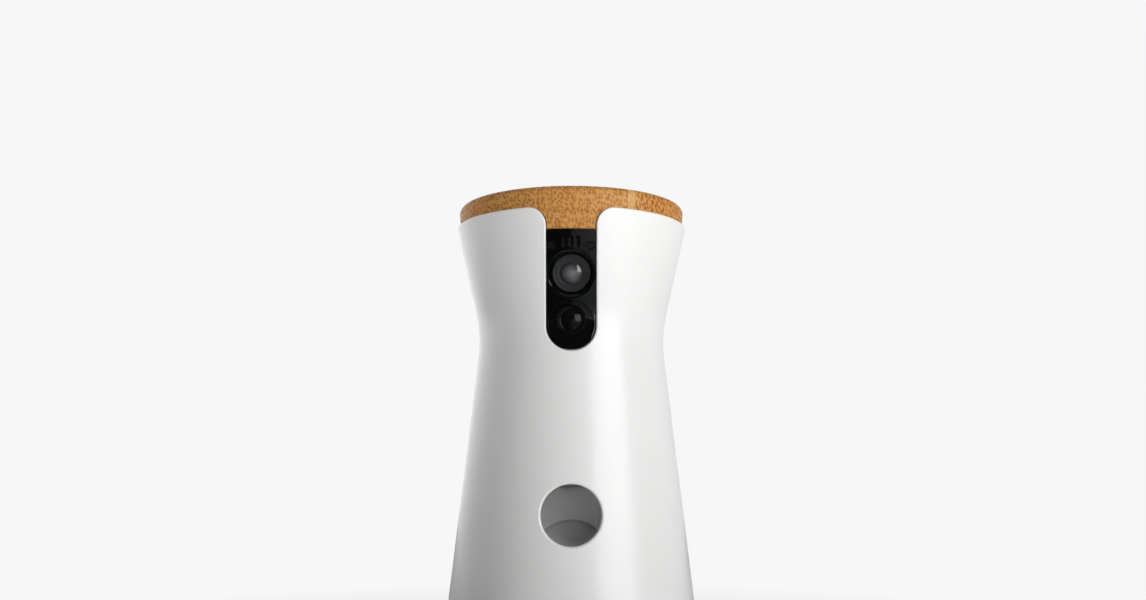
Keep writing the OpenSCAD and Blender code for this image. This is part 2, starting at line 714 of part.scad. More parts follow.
// The launch chamber is a channel that opens forwards and is round at its back
module channel_2d(r) {
  translate([0, -chamber_y]) circle(r = r, $fn = 128);
  translate([-r, -far - chamber_y]) square([2 * r, far]);
}
module launch_chamber() {
  color("lightgray") difference() {
    union() {
      intersection() {
        union() {
          difference() {
            translate([0, 0, chamber_z]) linear_extrude(chamber_top_z - chamber_z) channel_2d(chamber_r + chamber_t);
            translate([0, 0, chamber_z - 1]) linear_extrude(far) channel_2d(chamber_r);
          }
          intersection() {
            translate([0, 0, chamber_z]) linear_extrude(far / 2) channel_2d(chamber_r + chamber_t / 2);
            difference() {
              translate([-far / 2, -pivot_y, pivot_z]) rotate([0, 90, 0])
                cylinder(r = floor_r + 2.4, h = far, $fn = round_fn);
              translate([-far / 2 - 1, -pivot_y, pivot_z]) rotate([0, 90, 0])
                cylinder(r = floor_r, h = far + 2, $fn = round_fn);
              translate([-far / 2, -far - pivot_y, 0]) cube([far, far, 2 * far]);
              translate([-far / 2, -far, pivot_z - 20]) cube([far, 2 * far, far]);
            }
          }
          translate([-chamber_r - chamber_t / 2, -far - pivot_y, chamber_floor_z - 2.4])
            cube([2 * chamber_r + chamber_t, far, 2.4]);
        }
        low_solid(wall + chamber_skin_gap, 0, pivot_z + 10);
        treat_collar_clearance();
      }
      for (side = [-1, 1]) translate([side * (chamber_r + chamber_t / 2), 0, 0]) {
        translate([0, -pivot_y, pivot_z]) rotate([0, 90, 0])
          cylinder(r = ear_r, h = chamber_t, center = true, $fn = 64);
        translate([-chamber_t / 2, -pivot_y - ear_r, chamber_top_z - 2])
          cube([chamber_t, 2 * ear_r, pivot_z - chamber_top_z + 2]);
      }
    }
    translate([-far / 2, -pivot_y, pivot_z]) rotate([0, 90, 0])
      cylinder(r = shaft_r + running_gap, h = far, $fn = small_fn);
  }
}
// Everything but the collar round the treat hole and a little space about it
module treat_collar_clearance() {
  difference() {
    translate([-far, -far, -1]) cube([2 * far, 2 * far, 3 * far]);
    intersection() {
      translate([0, 0, hole_z]) rotate([90, 0, 0])
        cylinder(r = hole_d / 2 + collar_t + 0.5, h = far, $fn = 96);
      difference() {
        low_solid(0, 0, pivot_z);
        low_solid(wall + 2.5, -1, pivot_z + 1);
      }
    }
  }
}

module kicker() {
  hub_l = 2 * (chamber_r - kicker_gap / 2);
  color("lightgray") difference() {
    union() {
      intersection() {
        difference() {
          translate([0, -chamber_y, chamber_z]) cylinder(r = kicker_out_r, h = kicker_plate_top_z - chamber_z, $fn = 128);
          translate([0, -chamber_y, chamber_z - 1]) cylinder(r = kicker_in_r, h = far, $fn = 128);
          translate([-far / 2, -far - chamber_y + 1, 0]) cube([far, far, 2 * far]);
        }
        translate([-far / 2, -pivot_y, pivot_z]) rotate([0, 90, 0])
          cylinder(r = floor_r - kicker_gap * 0.8, h = far, $fn = round_fn);
      }
      for (side = [-1, 1]) translate([side * (kicker_in_r + kicker_t / 2), 0, 0])
        intersection() {
          across_x(-kicker_t / 2, 0, 0) linear_extrude(kicker_t) arm_2d();
          translate([-side * (kicker_in_r + kicker_t / 2), 0, 0]) linear_extrude(2 * far) channel_2d(kicker_out_r);
        }
      translate([-hub_l / 2, -pivot_y, pivot_z]) rotate([0, 90, 0])
        cylinder(r = kicker_hub_r, h = hub_l, $fn = small_fn);
    }
    translate([-far / 2, -pivot_y, pivot_z]) rotate([0, 90, 0])
      cylinder(r = shaft_r + plate_fit, h = far, $fn = small_fn);
  }
}
// Side arm of the kicker: from its hub down and back to the plate
module arm_2d() {
  plate_y = -chamber_y + 1;
  polygon([[-pivot_y - 2.8, pivot_z - 2], [-pivot_y + 1.6, pivot_z + 3], [plate_y + 7.5, kicker_plate_top_z],
           [plate_y + 7.5, chamber_floor_z + 7.8], [plate_y - 0.3, chamber_floor_z + 4.6],
           [plate_y - 3.8, chamber_floor_z + 17]]);
}
shaft_left = plate_x + 7.2;
shaft_right = gear_x + gear_w + 1.2;
module kicker_shaft() {
  color("silver") translate([-shaft_left, -pivot_y, pivot_z]) rotate([0, 90, 0])
    cylinder(r = shaft_r, h = shaft_left + shaft_right, $fn = small_fn);
}
sector_hub_r = 3.4;
module kicker_gear() {
  n = sector_teeth;
  m = kicker_module;
  step = 360 / n;
  color("gold") difference() {
    across_x(gear_x, -pivot_y, pivot_z) linear_extrude(gear_w) rotate(train_angle) {
      polygon(concat([polar(sector_hub_r, 90), polar(sector_hub_r, 270)],
        [for (k = [sector_span[0]:sector_span[1]]) each tooth(n, m, step * k)]));
      circle(r = sector_hub_r, $fn = small_fn);
    }
    translate([-far / 2, -pivot_y, pivot_z]) rotate([0, 90, 0])
      cylinder(r = shaft_r + plate_fit, h = far, $fn = small_fn);
  }
}
spring_turns = 5;
spring_wire_r = 0.45;
spring_coil_r = 3;
spring_pitch = 1.05;
function spring_at(k, steps) =
  let (a = 360 * k / steps)
  [-chamber_r - chamber_t - spring_wire_r - spring_pitch * k / steps,
   -pivot_y + spring_coil_r * cos(a), pivot_z + spring_coil_r * sin(a)];
module kicker_spring() {
  steps = 20;
  sides = 6;
  rings = spring_turns * steps;
  points = [for (k = [0:rings]) for (j = [0:sides - 1])
    let (a = 360 * k / steps, b = 360 * j / sides + 30, c = spring_at(k, steps))
    [c[0] + spring_wire_r * sin(b), c[1] + spring_wire_r * cos(b) * cos(a), c[2] + spring_wire_r * cos(b) * sin(a)]];
  faces = concat(
    [[for (j = [0:sides - 1]) j]],
    [for (k = [0:rings - 1]) for (j = [0:sides - 1]) each
      let (p = k * sides + j, q = k * sides + (j + 1) % sides)
      [[p, p + sides, q + sides], [p, q + sides, q]]],
    [[for (j = [sides - 1:-1:0]) rings * sides + j]]);
  color("silver") polyhedron(points, faces);
}
module shaft_clips() {
  color("silver") for (x = [-shaft_left + 0.4, gear_x + gear_w])
    translate([x, -pivot_y, pivot_z]) rotate([0, 90, 0]) difference() {
      cylinder(r = shaft_r + 1.3, h = clip_t, $fn = small_fn);
      translate([0, 0, -1]) cylinder(r = shaft_r + plate_fit, h = clip_t + 2, $fn = small_fn);
    }
}

snap_hub_r = 4;
module snap_gear() {
  n = snap_teeth;
  m = kicker_module;
  step = 360 / n;
  core = m * (n / 2 - 1.25);
  color("gold") difference() {
    union() {
      across_x(gear_x, snap_y, snap_z) linear_extrude(gear_w) rotate(180 + train_angle - step / 2) {
        circle(r = core, $fn = small_fn);
        polygon(concat([[0, 0]], [for (k = [-snap_span[1]:-snap_span[0] + 1]) each tooth(n, m, step * k)]));
      }
      across_x(gear_x + gear_w, snap_y, snap_z) cylinder(r = snap_hub_r, h = big_gear_x - gear_x - gear_w, $fn = small_fn);
      across_x(big_gear_x, snap_y, snap_z) linear_extrude(gear_w)
        rotate(train_angle) gear_2d(wheel_teeth, motor_module);
    }
    across_x(gear_x - 1, snap_y, snap_z)
      cylinder(r = shaft_r + running_gap, h = big_gear_x + gear_w - gear_x + 2, $fn = small_fn);
  }
}
module snap_gear_axle() {
  color("silver") {
    across_x(plate_x, snap_y, snap_z) cylinder(r = shaft_r, h = big_gear_x + gear_w + 1.4 - plate_x, $fn = small_fn);
    across_x(big_gear_x + gear_w + 0.4, snap_y, snap_z) cylinder(r = shaft_r + 1.3, h = 1, $fn = small_fn);
  }
}
module gear_plate() {
  y0 = snap_y - 12;
  y1 = motor_y + 9;
  color("silver") difference() {
    union() {
      translate([plate_x, y0, chamber_z]) cube([plate_t, y1 - y0, motor_z + 8 - chamber_z]);
      translate([plate_x, y0, motor_z]) cube([plate_t, 22, snap_z + 8 - motor_z]);
      translate([plate_x, y0, chamber_z]) cube([7.5, y1 - y0, plate_t]);
    }
    across_x(plate_x - 1, snap_y, snap_z) cylinder(r = shaft_r + plate_fit, h = 4, $fn = small_fn);
    across_x(plate_x - 1, motor_y, motor_z) cylinder(r = 3, h = 4, $fn = small_fn);
  }
}
module motor_pinion() {
  color("gold") union() {
    across_x(big_gear_x, motor_y, motor_z) linear_extrude(gear_w)
      rotate(180 + train_angle + 180 / pinion_teeth) gear_2d(pinion_teeth, motor_module);
    across_x(plate_x - 4, motor_y, motor_z)
      cylinder(r = motor_shaft_r, h = big_gear_x + gear_w - plate_x + 4.6, $fn = small_fn);
  }
}
module toss_motor() {
  color("silver") difference() {
    union() {
      across_x(plate_x - motor_body_l, motor_y, motor_z) cylinder(r = motor_body_r, h = motor_body_l, $fn = 64);
      across_x(plate_x - motor_body_l - 2, motor_y, motor_z) cylinder(r = 4, h = 3, $fn = small_fn);
    }
    across_x(plate_x - 5, motor_y, motor_z) cylinder(r = motor_shaft_r + running_gap, h = 6, $fn = small_fn);
  }
}

module chassis() {
  color("dimgray") difference() {
    union() {
      translate([-frame_x, spine_y, base_floor_z]) cube([2 * frame_x, spine_t, hopper_z - base_floor_z]);
      intersection() {
        translate([-frame_x, -pivot_y - 6, deck_z]) cube([2 * frame_x, spine_y + pivot_y + 8, deck_t]);
        low_solid(wall + 2, deck_z - 1, deck_z + deck_t + 1);
      }
      for (side = [-1, 1]) translate([side * (frame_x - leg_t / 2), 0, 0]) {
        translate([-leg_t / 2, -leg_front, base_floor_z]) cube([leg_t, spine_y + leg_front + 1, deck_z - base_floor_z + 1]);
      }
      intersection() {
        translate([0, 0, shelf_z]) cylinder(r = flex_r - 1.3, h = shelf_t, $fn = round_fn);
        translate([-far, -far, shelf_z - 1]) cube([2 * far, far + spine_back, shelf_t + 2]);
      }
      at_chassis_screws() translate([0, 0, base_floor_z]) cylinder(r = 5, h = chassis_boss_h, $fn = small_fn);
      for (side = [-1, 1]) for (z = [board_z0 + 4, board_z1 - 4])
        translate([side * (board_x - 4), 0, z]) along_y(spine_back - 1) cylinder(r = 2.5, h = standoff_h + 1, $fn = 32);
    }
    at_chassis_screws() translate([0, 0, base_floor_z - 1])
      cylinder(r = screw_r + screw_fit, h = chassis_boss_h, $fn = small_fn);
    translate([0, 0, shelf_z - 1]) cylinder(r = wheel_motor_r + 0.5, h = shelf_t + 2, $fn = 64);
    translate([0, -drop_y, shelf_z - 1]) cylinder(r = drop_r + 2, h = shelf_t + 2, $fn = 96);
    translate([-wheel_motor_r + 2, -drop_y, shelf_z - 1]) cube([2 * (wheel_motor_r - 2), drop_y, shelf_t + 2]);
    at_hopper_screws() translate([0, 0, shelf_z - 1])
      cylinder(r = hopper_screw_r + screw_pass, h = shelf_t + 2, $fn = small_fn);
  }
}
module at_chassis_screws() {
  for (side = [-1, 1]) for (front = [-1, 1])
    translate([side * (frame_x - 6), front * chassis_screw_y, 0]) children();
}
module chassis_screws() {
  color("silver") at_chassis_screws() {
    translate([0, 0, base_z]) cylinder(r = head_r, h = 1.2, $fn = small_fn);
    translate([0, 0, base_z + 0.5]) cylinder(r = screw_r, h = base_floor_t + 3.6, $fn = small_fn);
  }
}

module base_plate() {
  color("whitesmoke") difference() {
    union() {
      difference() {
        low_solid(0.3, base_z, light_z);
        translate([0, 0, base_floor_z]) cylinder(r = base_screw_ring_r - 6, h = base_t, $fn = round_fn);
      }
      for (side = [-1, 1]) translate([side * power_board_w / 4, power_post_y, base_z + 1])
        cylinder(r = power_post_r, h = power_board_z - base_z - 1, $fn = small_fn);
    }
    foot_space();
    at_base_screws() translate([0, 0, base_z]) {
      cylinder(r = head_r + 0.3, h = foot_groove + head_h, $fn = small_fn);
      cylinder(r = screw_r + screw_pass, h = base_t + 1, $fn = small_fn);
    }
    at_chassis_screws() translate([0, 0, base_z - 1]) {
      cylinder(r = head_r + 0.3, h = 1 + 1.2, $fn = small_fn);
      cylinder(r = screw_r + screw_pass, h = base_t, $fn = small_fn);
    }
  }
}
module foot_space() {
  translate([0, 0, -1]) difference() {
    cylinder(r = base_screw_ring_r + 4, h = foot_proud + foot_groove + 1, $fn = round_fn);
    translate([0, 0, -1]) cylinder(r = base_screw_ring_r - 4, h = foot_proud + foot_groove + 3, $fn = round_fn);
  }
}
module foot_ring() {
  color("dimgray") difference() {
    cylinder(r = base_screw_ring_r + 3.8, h = foot_proud + foot_groove, $fn = round_fn);
    translate([0, 0, -1]) cylinder(r = base_screw_ring_r - 3.8, h = foot_proud + foot_groove + 2, $fn = round_fn);
  }
}
module base_screws() {
  color("silver") at_base_screws() {
    translate([0, 0, base_z + foot_groove]) cylinder(r = head_r, h = head_h, $fn = small_fn);
    translate([0, 0, screw_seat_z - 1]) cylinder(r = screw_r, h = shell_z + 12 - screw_seat_z, $fn = small_fn);
  }
}
module light_ring() {
  color("azure") difference() {
    low_solid(0.5, light_z, shell_z);
    translate([0, 0, light_z - 1]) cylinder(r = base_screw_ring_r - 4, h = light_ring_h + 2, $fn = round_fn);
    at_base_screws() translate([0, 0, light_z - 1])
      cylinder(r = screw_r + screw_pass, h = light_ring_h + 2, $fn = small_fn);
  }
}
module led_board() {
  color("white") difference() {
    translate([0, 0, shell_z]) cylinder(r = base_screw_ring_r + 3.6, h = 1, $fn = round_fn);
    translate([0, 0, shell_z - 1]) cylinder(r = base_screw_ring_r + 1, h = 3, $fn = round_fn);
    at_base_screws() translate([0, 0, shell_z - 1]) {
      cylinder(r = boss_r + boss_web_gap, h = 3, $fn = small_fn);
      translate([0, -boss_web_t / 2 - boss_web_gap, 0]) cube([far, boss_web_t + 2 * boss_web_gap, 3]);
    }
  }
}

module main_board() {
  color("darkgreen") translate([-board_x, board_y, board_z0]) cube([2 * board_x, board_t, board_z1 - board_z0]);
}
module processor_shield() {
  color("silver") translate([-10, board_y + board_t, board_z0 + 10]) cube([24, shield_t, 22]);
}
module board_connectors() {
  color("ivory") {
    translate([-flex_back_x - flex_w / 2, board_y + board_t, board_z1 - 8]) cube([flex_w, connector_t, 5]);
    for (x = [2, 12]) translate([x, board_y + board_t, board_z0 + 1]) cube([7, 4, 5]);
  }
}
module wifi_antenna() {
  color("black") translate([speaker_r + 4, spine_back, speaker_z - speaker_r]) cube([7, 0.8, 32]);
}
module speaker() {
  color("dimgray") translate([0, 0, speaker_z]) {
    along_y(speaker_y) difference() {
      cylinder(r = speaker_r, h = speaker_rim_t, $fn = 96);
      translate([0, 0, 0.6]) cylinder(r1 = speaker_r - 8, r2 = speaker_r - 3, h = 1.5, $fn = 96);
    }
    along_y(speaker_y - 8) cylinder(r = speaker_r - 7, h = 8 + eps, $fn = 96);
  }
}
module speaker_box() {
  color("gray") translate([0, 0, speaker_z]) along_y(spine_back) difference() {
    cylinder(r = speaker_r, h = speaker_y - spine_back, $fn = 96);
    translate([0, 0, 1.5]) cylinder(r = speaker_r - 2, h = speaker_y, $fn = 96);
  }
}
module speaker_gasket() {
  color("dimgray") translate([0, 0, speaker_z]) along_y(speaker_y + speaker_rim_t) difference() {
    cylinder(r = speaker_r, h = gasket_t, $fn = 96);
    translate([0, 0, -1]) cylinder(r = speaker_r - 2.4, h = 3, $fn = 96);
  }
}

board_edge_r = base_screw_ring_r + 1.5;
power_board_y = spine_back + 8;
power_board_w = 40;
power_post_r = 3;
power_post_y = base_screw_ring_r - 5.5 - power_post_r;
button_flange = 0.8;
button_back = sqrt(pow(low_r(button_z, wall), 2) - pow(button_x + button_d / 2 + button_flange, 2)) - 1.5;
module power_board() {
  color("darkgreen") difference() {
    intersection() {
      translate([-power_board_w / 2, power_board_y, power_board_z])
        cube([power_board_w, board_edge_r - power_board_y, board_t]);
      translate([0, 0, power_board_z]) cylinder(r = board_edge_r, h = board_t, $fn = round_fn);
    }
    translate([-button_x - 4.5, button_back - 1.4, power_board_z - 1]) cube([9, 9, board_t + 2]);
  }
}
module power_socket() {
  front = base_screw_ring_r + 4.4;
  depth = 9.6;
  color("silver") translate([0, front - depth, socket_z]) difference() {
    translate([-socket_w / 2, 0, -socket_h / 2]) cube([socket_w, depth, socket_h]);
    translate([-socket_w / 2 + 0.4, 1, -socket_h / 2 + 0.4]) cube([socket_w - 0.8, depth, socket_h - 0.8]);
  }
}
module reset_switch() {
  color("dimgray") {
    translate([-button_x - 3, button_back - 5.5, power_board_z + board_t]) cube([6, 4, 3.8]);
    translate([-button_x, 0, button_z]) along_y(button_back - 2) cylinder(r = 0.9, h = 1.9 - button_travel, $fn = 24);
  }
}
module reset_button() {
  color("lightgray") translate([-button_x, 0, button_z]) {
    along_y(button_back) cylinder(d = button_d, h = low_r(button_z) - 1.2 - button_back, $fn = small_fn);
    along_y(button_back) cylinder(d = button_d + 2 * button_flange, h = 1, $fn = small_fn);
  }
}

body_shell();
lid_cap();
lid_plug();
lid_seal();
camera_panel();
main_lens_barrel();
main_lens_glass();
image_sensor_board();
night_lamp_window();
night_lamp_lens();
night_lamp_board();
sensor_board();
microphones();
light_sensors();
camera_housing();
camera_flex();
treat_hopper();
drop_guard();
metering_wheel();
wheel_shaft();
wheel_motor();
hopper_screws();
launch_chamber();
kicker();
kicker_shaft();
kicker_gear();
kicker_spring();
shaft_clips();
snap_gear();
snap_gear_axle();
gear_plate();
motor_pinion();
toss_motor();
chassis();
chassis_screws();
base_plate();
foot_ring();
base_screws();
light_ring();
led_board();
main_board();
processor_shield();
board_connectors();
wifi_antenna();
speaker();
speaker_box();
speaker_gasket();
power_board();
power_socket();
reset_switch();
reset_button();
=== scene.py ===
"""Looks of a treat tossing pet camera, built around its packed construction frame.

The object stands on z = 0 and looks towards -Y. Sizes are in millimetres in the
classes and become metres when a mesh is made.
"""

from __future__ import annotations

import json
import logging
import math
from dataclasses import dataclass, field
from enum import Enum
from typing import Callable, Iterable, Optional, Sequence, Union

import bmesh
import bpy
import numpy as np
from mathutils import Matrix, Vector
from mathutils.geometry import delaunay_2d_cdt


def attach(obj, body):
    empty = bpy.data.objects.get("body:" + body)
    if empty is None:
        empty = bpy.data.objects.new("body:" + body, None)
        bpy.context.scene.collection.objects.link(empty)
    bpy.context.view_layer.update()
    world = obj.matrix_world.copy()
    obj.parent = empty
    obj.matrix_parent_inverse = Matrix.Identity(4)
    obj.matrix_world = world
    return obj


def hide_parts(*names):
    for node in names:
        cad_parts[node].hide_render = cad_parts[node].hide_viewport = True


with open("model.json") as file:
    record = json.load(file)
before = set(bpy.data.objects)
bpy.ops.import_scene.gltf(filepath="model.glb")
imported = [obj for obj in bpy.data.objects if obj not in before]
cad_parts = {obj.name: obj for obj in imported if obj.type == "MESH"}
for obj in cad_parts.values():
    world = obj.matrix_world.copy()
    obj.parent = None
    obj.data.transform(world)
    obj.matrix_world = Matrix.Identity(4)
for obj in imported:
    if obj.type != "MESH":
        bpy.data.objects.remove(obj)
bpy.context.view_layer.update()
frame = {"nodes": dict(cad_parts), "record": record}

MM = 0.001
LOG = logging.getLogger("pet_camera")

# Edges sharper than this, in degrees, stay sharp
SHARP_DEG = 35.0
LENS_SHARP_DEG = 50.0
# Points that are compared with others at once, so that the arrays stay small
CHUNK = 2000
# How far a face's inner corners keep from its edge, as a share of their spacing
CLEAR_OF_EDGE = 0.62
# Points closer than this, in millimetres, are merged
SAME_POINT = 0.002

Point2 = tuple[float, float]
Point3 = tuple[float, float, float]
Colour = tuple[float, float, float, float]
Rings = list[np.ndarray]
Piece = bpy.types.Object
Socket = bpy.types.NodeSocket
Value = Union[Socket, float, Sequence[float]]
Mesh = tuple[np.ndarray, list[list[int]]]


# ---------------------------------------------------------------- the housing's form


@dataclass(frozen=True)
class HousingForm:
    """The two cones of the housing and the blend between them, about the Z axis."""

    base_r: float = 64.7
    waist_r: float = 47.1
    waist_z: float = 157.8
    rim_r: float = 60.2
    rim_z: float = 214.5
    blend: float = 70.0

    @property
    def low_angle(self) -> float:
        """Lean of the lower cone, in radians."""
        return math.atan((self.base_r - self.waist_r) / self.waist_z)

    @property
    def up_angle(self) -> float:
        """Lean of the upper cone, in radians."""
        return math.atan((self.rim_r - self.waist_r) / (self.rim_z - self.waist_z))

    @property
    def blend_centre(self) -> Point2:
        """Radius and height of the centre of the blend's arc.

        Returns:
            The radius and the height.
        """
        mean = (self.low_angle + self.up_angle) / 2
        turn = (self.low_angle - self.up_angle) / 2
        reach = self.blend / math.cos(mean)
        return self.waist_r + reach * math.cos(turn), self.waist_z + reach * math.sin(turn)

    def lean(self, z: float | np.ndarray) -> np.ndarray:
        """Lean of the surface at height z: positive where it faces down.

        Args:
            z: One height or many.

        Returns:
            The lean at each height, in radians.
        """
        _, centre_z = self.blend_centre
        rise = np.clip((np.asarray(z, float) - centre_z) / self.blend, -0.999, 0.999)
        return np.clip(np.arcsin(rise), -self.low_angle, self.up_angle)

    def radius(self, z: float | np.ndarray, depth: float | np.ndarray = 0.0) -> np.ndarray:
        """Radius at height z of the surface that lies depth inside the outer one.

        Args:
            z: One height or many.
            depth: How far the surface lies inside the outer one.

        Returns:
            The radius at each height.
        """
        z = np.asarray(z, float)
        centre_r, centre_z = self.blend_centre
        low = self.base_r - z * math.tan(self.low_angle) - depth / math.cos(self.low_angle)
        up = (self.waist_r + (z - self.waist_z) * math.tan(self.up_angle)
              - depth / math.cos(self.up_angle))
        reach = self.blend + depth
        rise = np.clip((z - centre_z) / reach, -1, 1)
        arc = centre_r - reach * np.sqrt(1 - rise**2)
        lean = np.arcsin(rise)
        return np.where(lean < -self.low_angle, low, np.where(lean > self.up_angle, up, arc))

    def radius_at(self, z: float, depth: float = 0.0) -> float:
        """Radius at one height."""
        return float(self.radius(z, depth))

    def point(self, turn: np.ndarray, z: np.ndarray, depth: float | np.ndarray = 0.0) -> np.ndarray:
        """Points in space at an angle from the front, a height and a depth."""
        r = self.radius(z, depth)
        return np.stack([r * np.sin(turn), -r * np.cos(turn), np.asarray(z, float)], axis=-1)


FORM = HousingForm()


# ---------------------------------------------------------------- mesh making


def new_piece(name: str, points: np.ndarray, faces: Iterable[Sequence[int]],
              smooth_angle: Optional[float] = SHARP_DEG) -> Piece:
    """Makes a mesh object from points in millimetres.

    Args:
        name: The piece's name.
        points: One row of three numbers for each point.
        faces: The corners of each face, by number.
        smooth_angle: Edges sharper than this, in degrees, stay sharp. With None, the
            mesh is left flat.

    Returns:
        The new object, at the origin.
    """
    mesh = bpy.data.meshes.new(name)
    mesh.from_pydata((np.asarray(points, float) * MM).tolist(), [], [list(f) for f in faces])
    mesh.validate()
    mesh.update()
    piece = bpy.data.objects.new(name, mesh)
    bpy.context.scene.collection.objects.link(piece)
    if smooth_angle is not None:
        smooth(piece, smooth_angle)
    return piece


def smooth(piece: Piece, sharp_deg: float = SHARP_DEG) -> None:
    """Shades a piece smooth except at its sharp edges."""
    piece.data.shade_smooth()
    piece.data.set_sharp_from_angle(angle=math.radians(sharp_deg))


def full_turn(count: int) -> np.ndarray:
    """Evenly spread angles round a circle, in radians."""
    return np.linspace(0, 2 * math.pi, count, endpoint=False)


def extended(rows: np.ndarray, value: float) -> np.ndarray:
    """Adds a last column that holds one value, such as a height or a depth."""
    return np.column_stack([rows, np.full(len(rows), value)])


def band(first: int, second: int, count: int) -> list[list[int]]:
    """Quads between two closed rings, each given by the number of its first point."""
    return [[first + j, first + (j + 1) % count, second + (j + 1) % count, second + j]
            for j in range(count)]


def lathe(outline: Sequence[Point2], steps: int = 96) -> Mesh:
    """A solid of revolution about Z.

    Args:
        outline: Radius and height of each point, anticlockwise with the radius to
            the right and the height upwards. A radius of 0 closes on the axis.
        steps: How many points go round.

    Returns:
        Points and faces.
    """
    around = full_turn(steps)
    points: list[np.ndarray] = []
    rings: list[list[int]] = []
    total = 0
    for r, z in outline:
        if r < 1e-9:
            points.append(np.array([[0.0, 0.0, z]]))
            rings.append([total] * steps)
            total += 1
        else:
            points.append(extended(r * np.column_stack([np.cos(around), np.sin(around)]), z))
            rings.append(list(range(total, total + steps)))
            total += steps
    faces = []
    for k, low in enumerate(rings):
        high = rings[(k + 1) % len(rings)]
        for j in range(steps):
            after = (j + 1) % steps
            corners = list(dict.fromkeys([low[j], low[after], high[after], high[j]]))
            if len(corners) > 2:
                faces.append(corners)
    return np.concatenate(points), faces


def rounded(outline: Sequence[Point3], steps: int = 6) -> list[Point2]:
    """Rounds the corners of a closed outline.

    Args:
        outline: Radius, height and corner radius of each corner.
        steps: How many spans a rounded corner has.

    Returns:
        The rounded outline's points.
    """
    result: list[Point2] = []
    for k, (x, z, r) in enumerate(outline):
        here = Vector((x, z))
        before = Vector(outline[k - 1][:2])
        after = Vector(outline[(k + 1) % len(outline)][:2])
        if r <= 0:
            result.append((x, z))
            continue
        back, ahead = (before - here).normalized(), (after - here).normalized()
        half = math.acos(max(-1.0, min(1.0, back.dot(ahead)))) / 2
        reach = r / math.tan(half)
        centre = here + (back + ahead).normalized() * (r / math.sin(half))
        start, end = here + back * reach - centre, here + ahead * reach - centre
        turn = start.angle_signed(end)
        for j in range(steps + 1):
            spoke = start.copy()
            spoke.rotate(Matrix.Rotation(-turn * j / steps, 2))
            result.append((centre.x + spoke.x, centre.y + spoke.y))
    return result


def inside(points: np.ndarray, polygons: Sequence[np.ndarray]) -> np.ndarray:
    """Tests which points lie inside an odd number of closed polygons.

    Args:
        points: The points, in the plane.
        polygons: The corners of each closed polygon.

    Returns:
        True for each point that lies inside.
    """
    crossings = np.zeros(len(points), int)
    for polygon in polygons:
        a, b = polygon, np.roll(polygon, -1, axis=0)
        for start in range(0, len(points), CHUNK):
            p = points[start:start + CHUNK]
            y = p[:, 1:2]
            spans = (a[:, 1] > y) != (b[:, 1] > y)
            with np.errstate(divide="ignore", invalid="ignore"):
                x = a[:, 0] + (y - a[:, 1]) * (b[:, 0] - a[:, 0]) / (b[:, 1] - a[:, 1])
            crossings[start:start + CHUNK] += np.sum(spans & (p[:, 0:1] < x), axis=1)
    return crossings % 2 == 1


def nearest_gap(points: np.ndarray, others: np.ndarray) -> np.ndarray:
    """Distance from each point to the nearest of some others, in the plane.

    Args:
        points: The points.
        others: The points that are measured to.

    Returns:
        One distance for each point.
    """
    gaps = np.full(len(points), np.inf)
    for start in range(0, len(points), CHUNK):
        p = points[start:start + CHUNK]
        gaps[start:start + CHUNK] = np.sqrt(
            ((p[:, None, :] - others[None, :, :]) ** 2).sum(axis=2).min(axis=1))
    return gaps


def fill(polygons: Sequence[np.ndarray], spacing: float) -> tuple[np.ndarray, np.ndarray]:
    """Covers a flat region with triangles of about one size.

    Args:
        polygons: The region's closed edges; what lies in an odd number is inside.
        spacing: The distance between the triangles' corners.

    Returns:
        The corners, which begin with the polygons' own points in order, and the
        triangles.
    """
    edge_points = np.concatenate(polygons)
    low, high = edge_points.min(axis=0), edge_points.max(axis=0)
    rows = np.arange(low[1], high[1], spacing * math.sqrt(3) / 2)
    grid = np.concatenate([extended(np.arange(low[0] + (k % 2) * spacing / 2, high[0], spacing), row)
                           for k, row in enumerate(rows)])
    grid = grid[inside(grid, polygons)]
    grid = grid[nearest_gap(grid, edge_points) > spacing * CLEAR_OF_EDGE]
    corners = np.concatenate([edge_points, grid])
    edges, first = [], 0
    for polygon in polygons:
        n = len(polygon)
        edges += [(first + k, first + (k + 1) % n) for k in range(n)]
        first += n
    out, _, triangles, origins, _, _ = delaunay_2d_cdt(
        [Vector(p) for p in corners], edges, [], 0, 1e-7)
    number = [o[0] if o else -1 for o in origins]
    kept = np.array([[number[i] for i in t] for t in triangles if all(number[i] >= 0 for i in t)])
    centres = corners[kept].mean(axis=1)
    kept = kept[inside(centres, polygons)]
    a, b, c = corners[kept[:, 0]], corners[kept[:, 1]], corners[kept[:, 2]]
    area = (b[:, 0] - a[:, 0]) * (c[:, 1] - a[:, 1]) - (c[:, 0] - a[:, 0]) * (b[:, 1] - a[:, 1])
    kept[area < 0] = kept[area < 0][:, ::-1]
    return corners, kept


@dataclass
class Edge:
    """An edge of a curved sheet: rings of points from its outer face to its inner.

    Each ring has one row for each point: angle from the front, height and depth.
    Seen from outside, the sheet lies to the right of each ring's direction.
    """

    rings: Rings
    closed: bool = True


Outline = Callable[[float], tuple[np.ndarray, np.ndarray]]


@dataclass(frozen=True)
class Lip:
    """How an edge is finished: rounded outside, straight through, and what follows."""

    round_r: float
    depth: float
    steps: int = 6
    support: float = 0.25
    after: tuple[Point2, ...] = ()
    below: float = 0.15

    def stations(self) -> list[Point2]:
        """Distance into the sheet and depth of each ring, from the outer face inwards.

        Returns:
            The distance and the depth of each ring.
        """
        quarter = [k / self.steps * math.pi / 2 for k in range(self.steps + 1)]
        arc = [(self.round_r * (1 - math.sin(a)), self.round_r * (1 - math.cos(a))) for a in quarter]
        start = [(self.round_r + self.support, 0.0)]
        middle = [(0.0, self.round_r + self.below)]
        return start + arc + middle + [(0.0, self.depth)] + list(self.after)


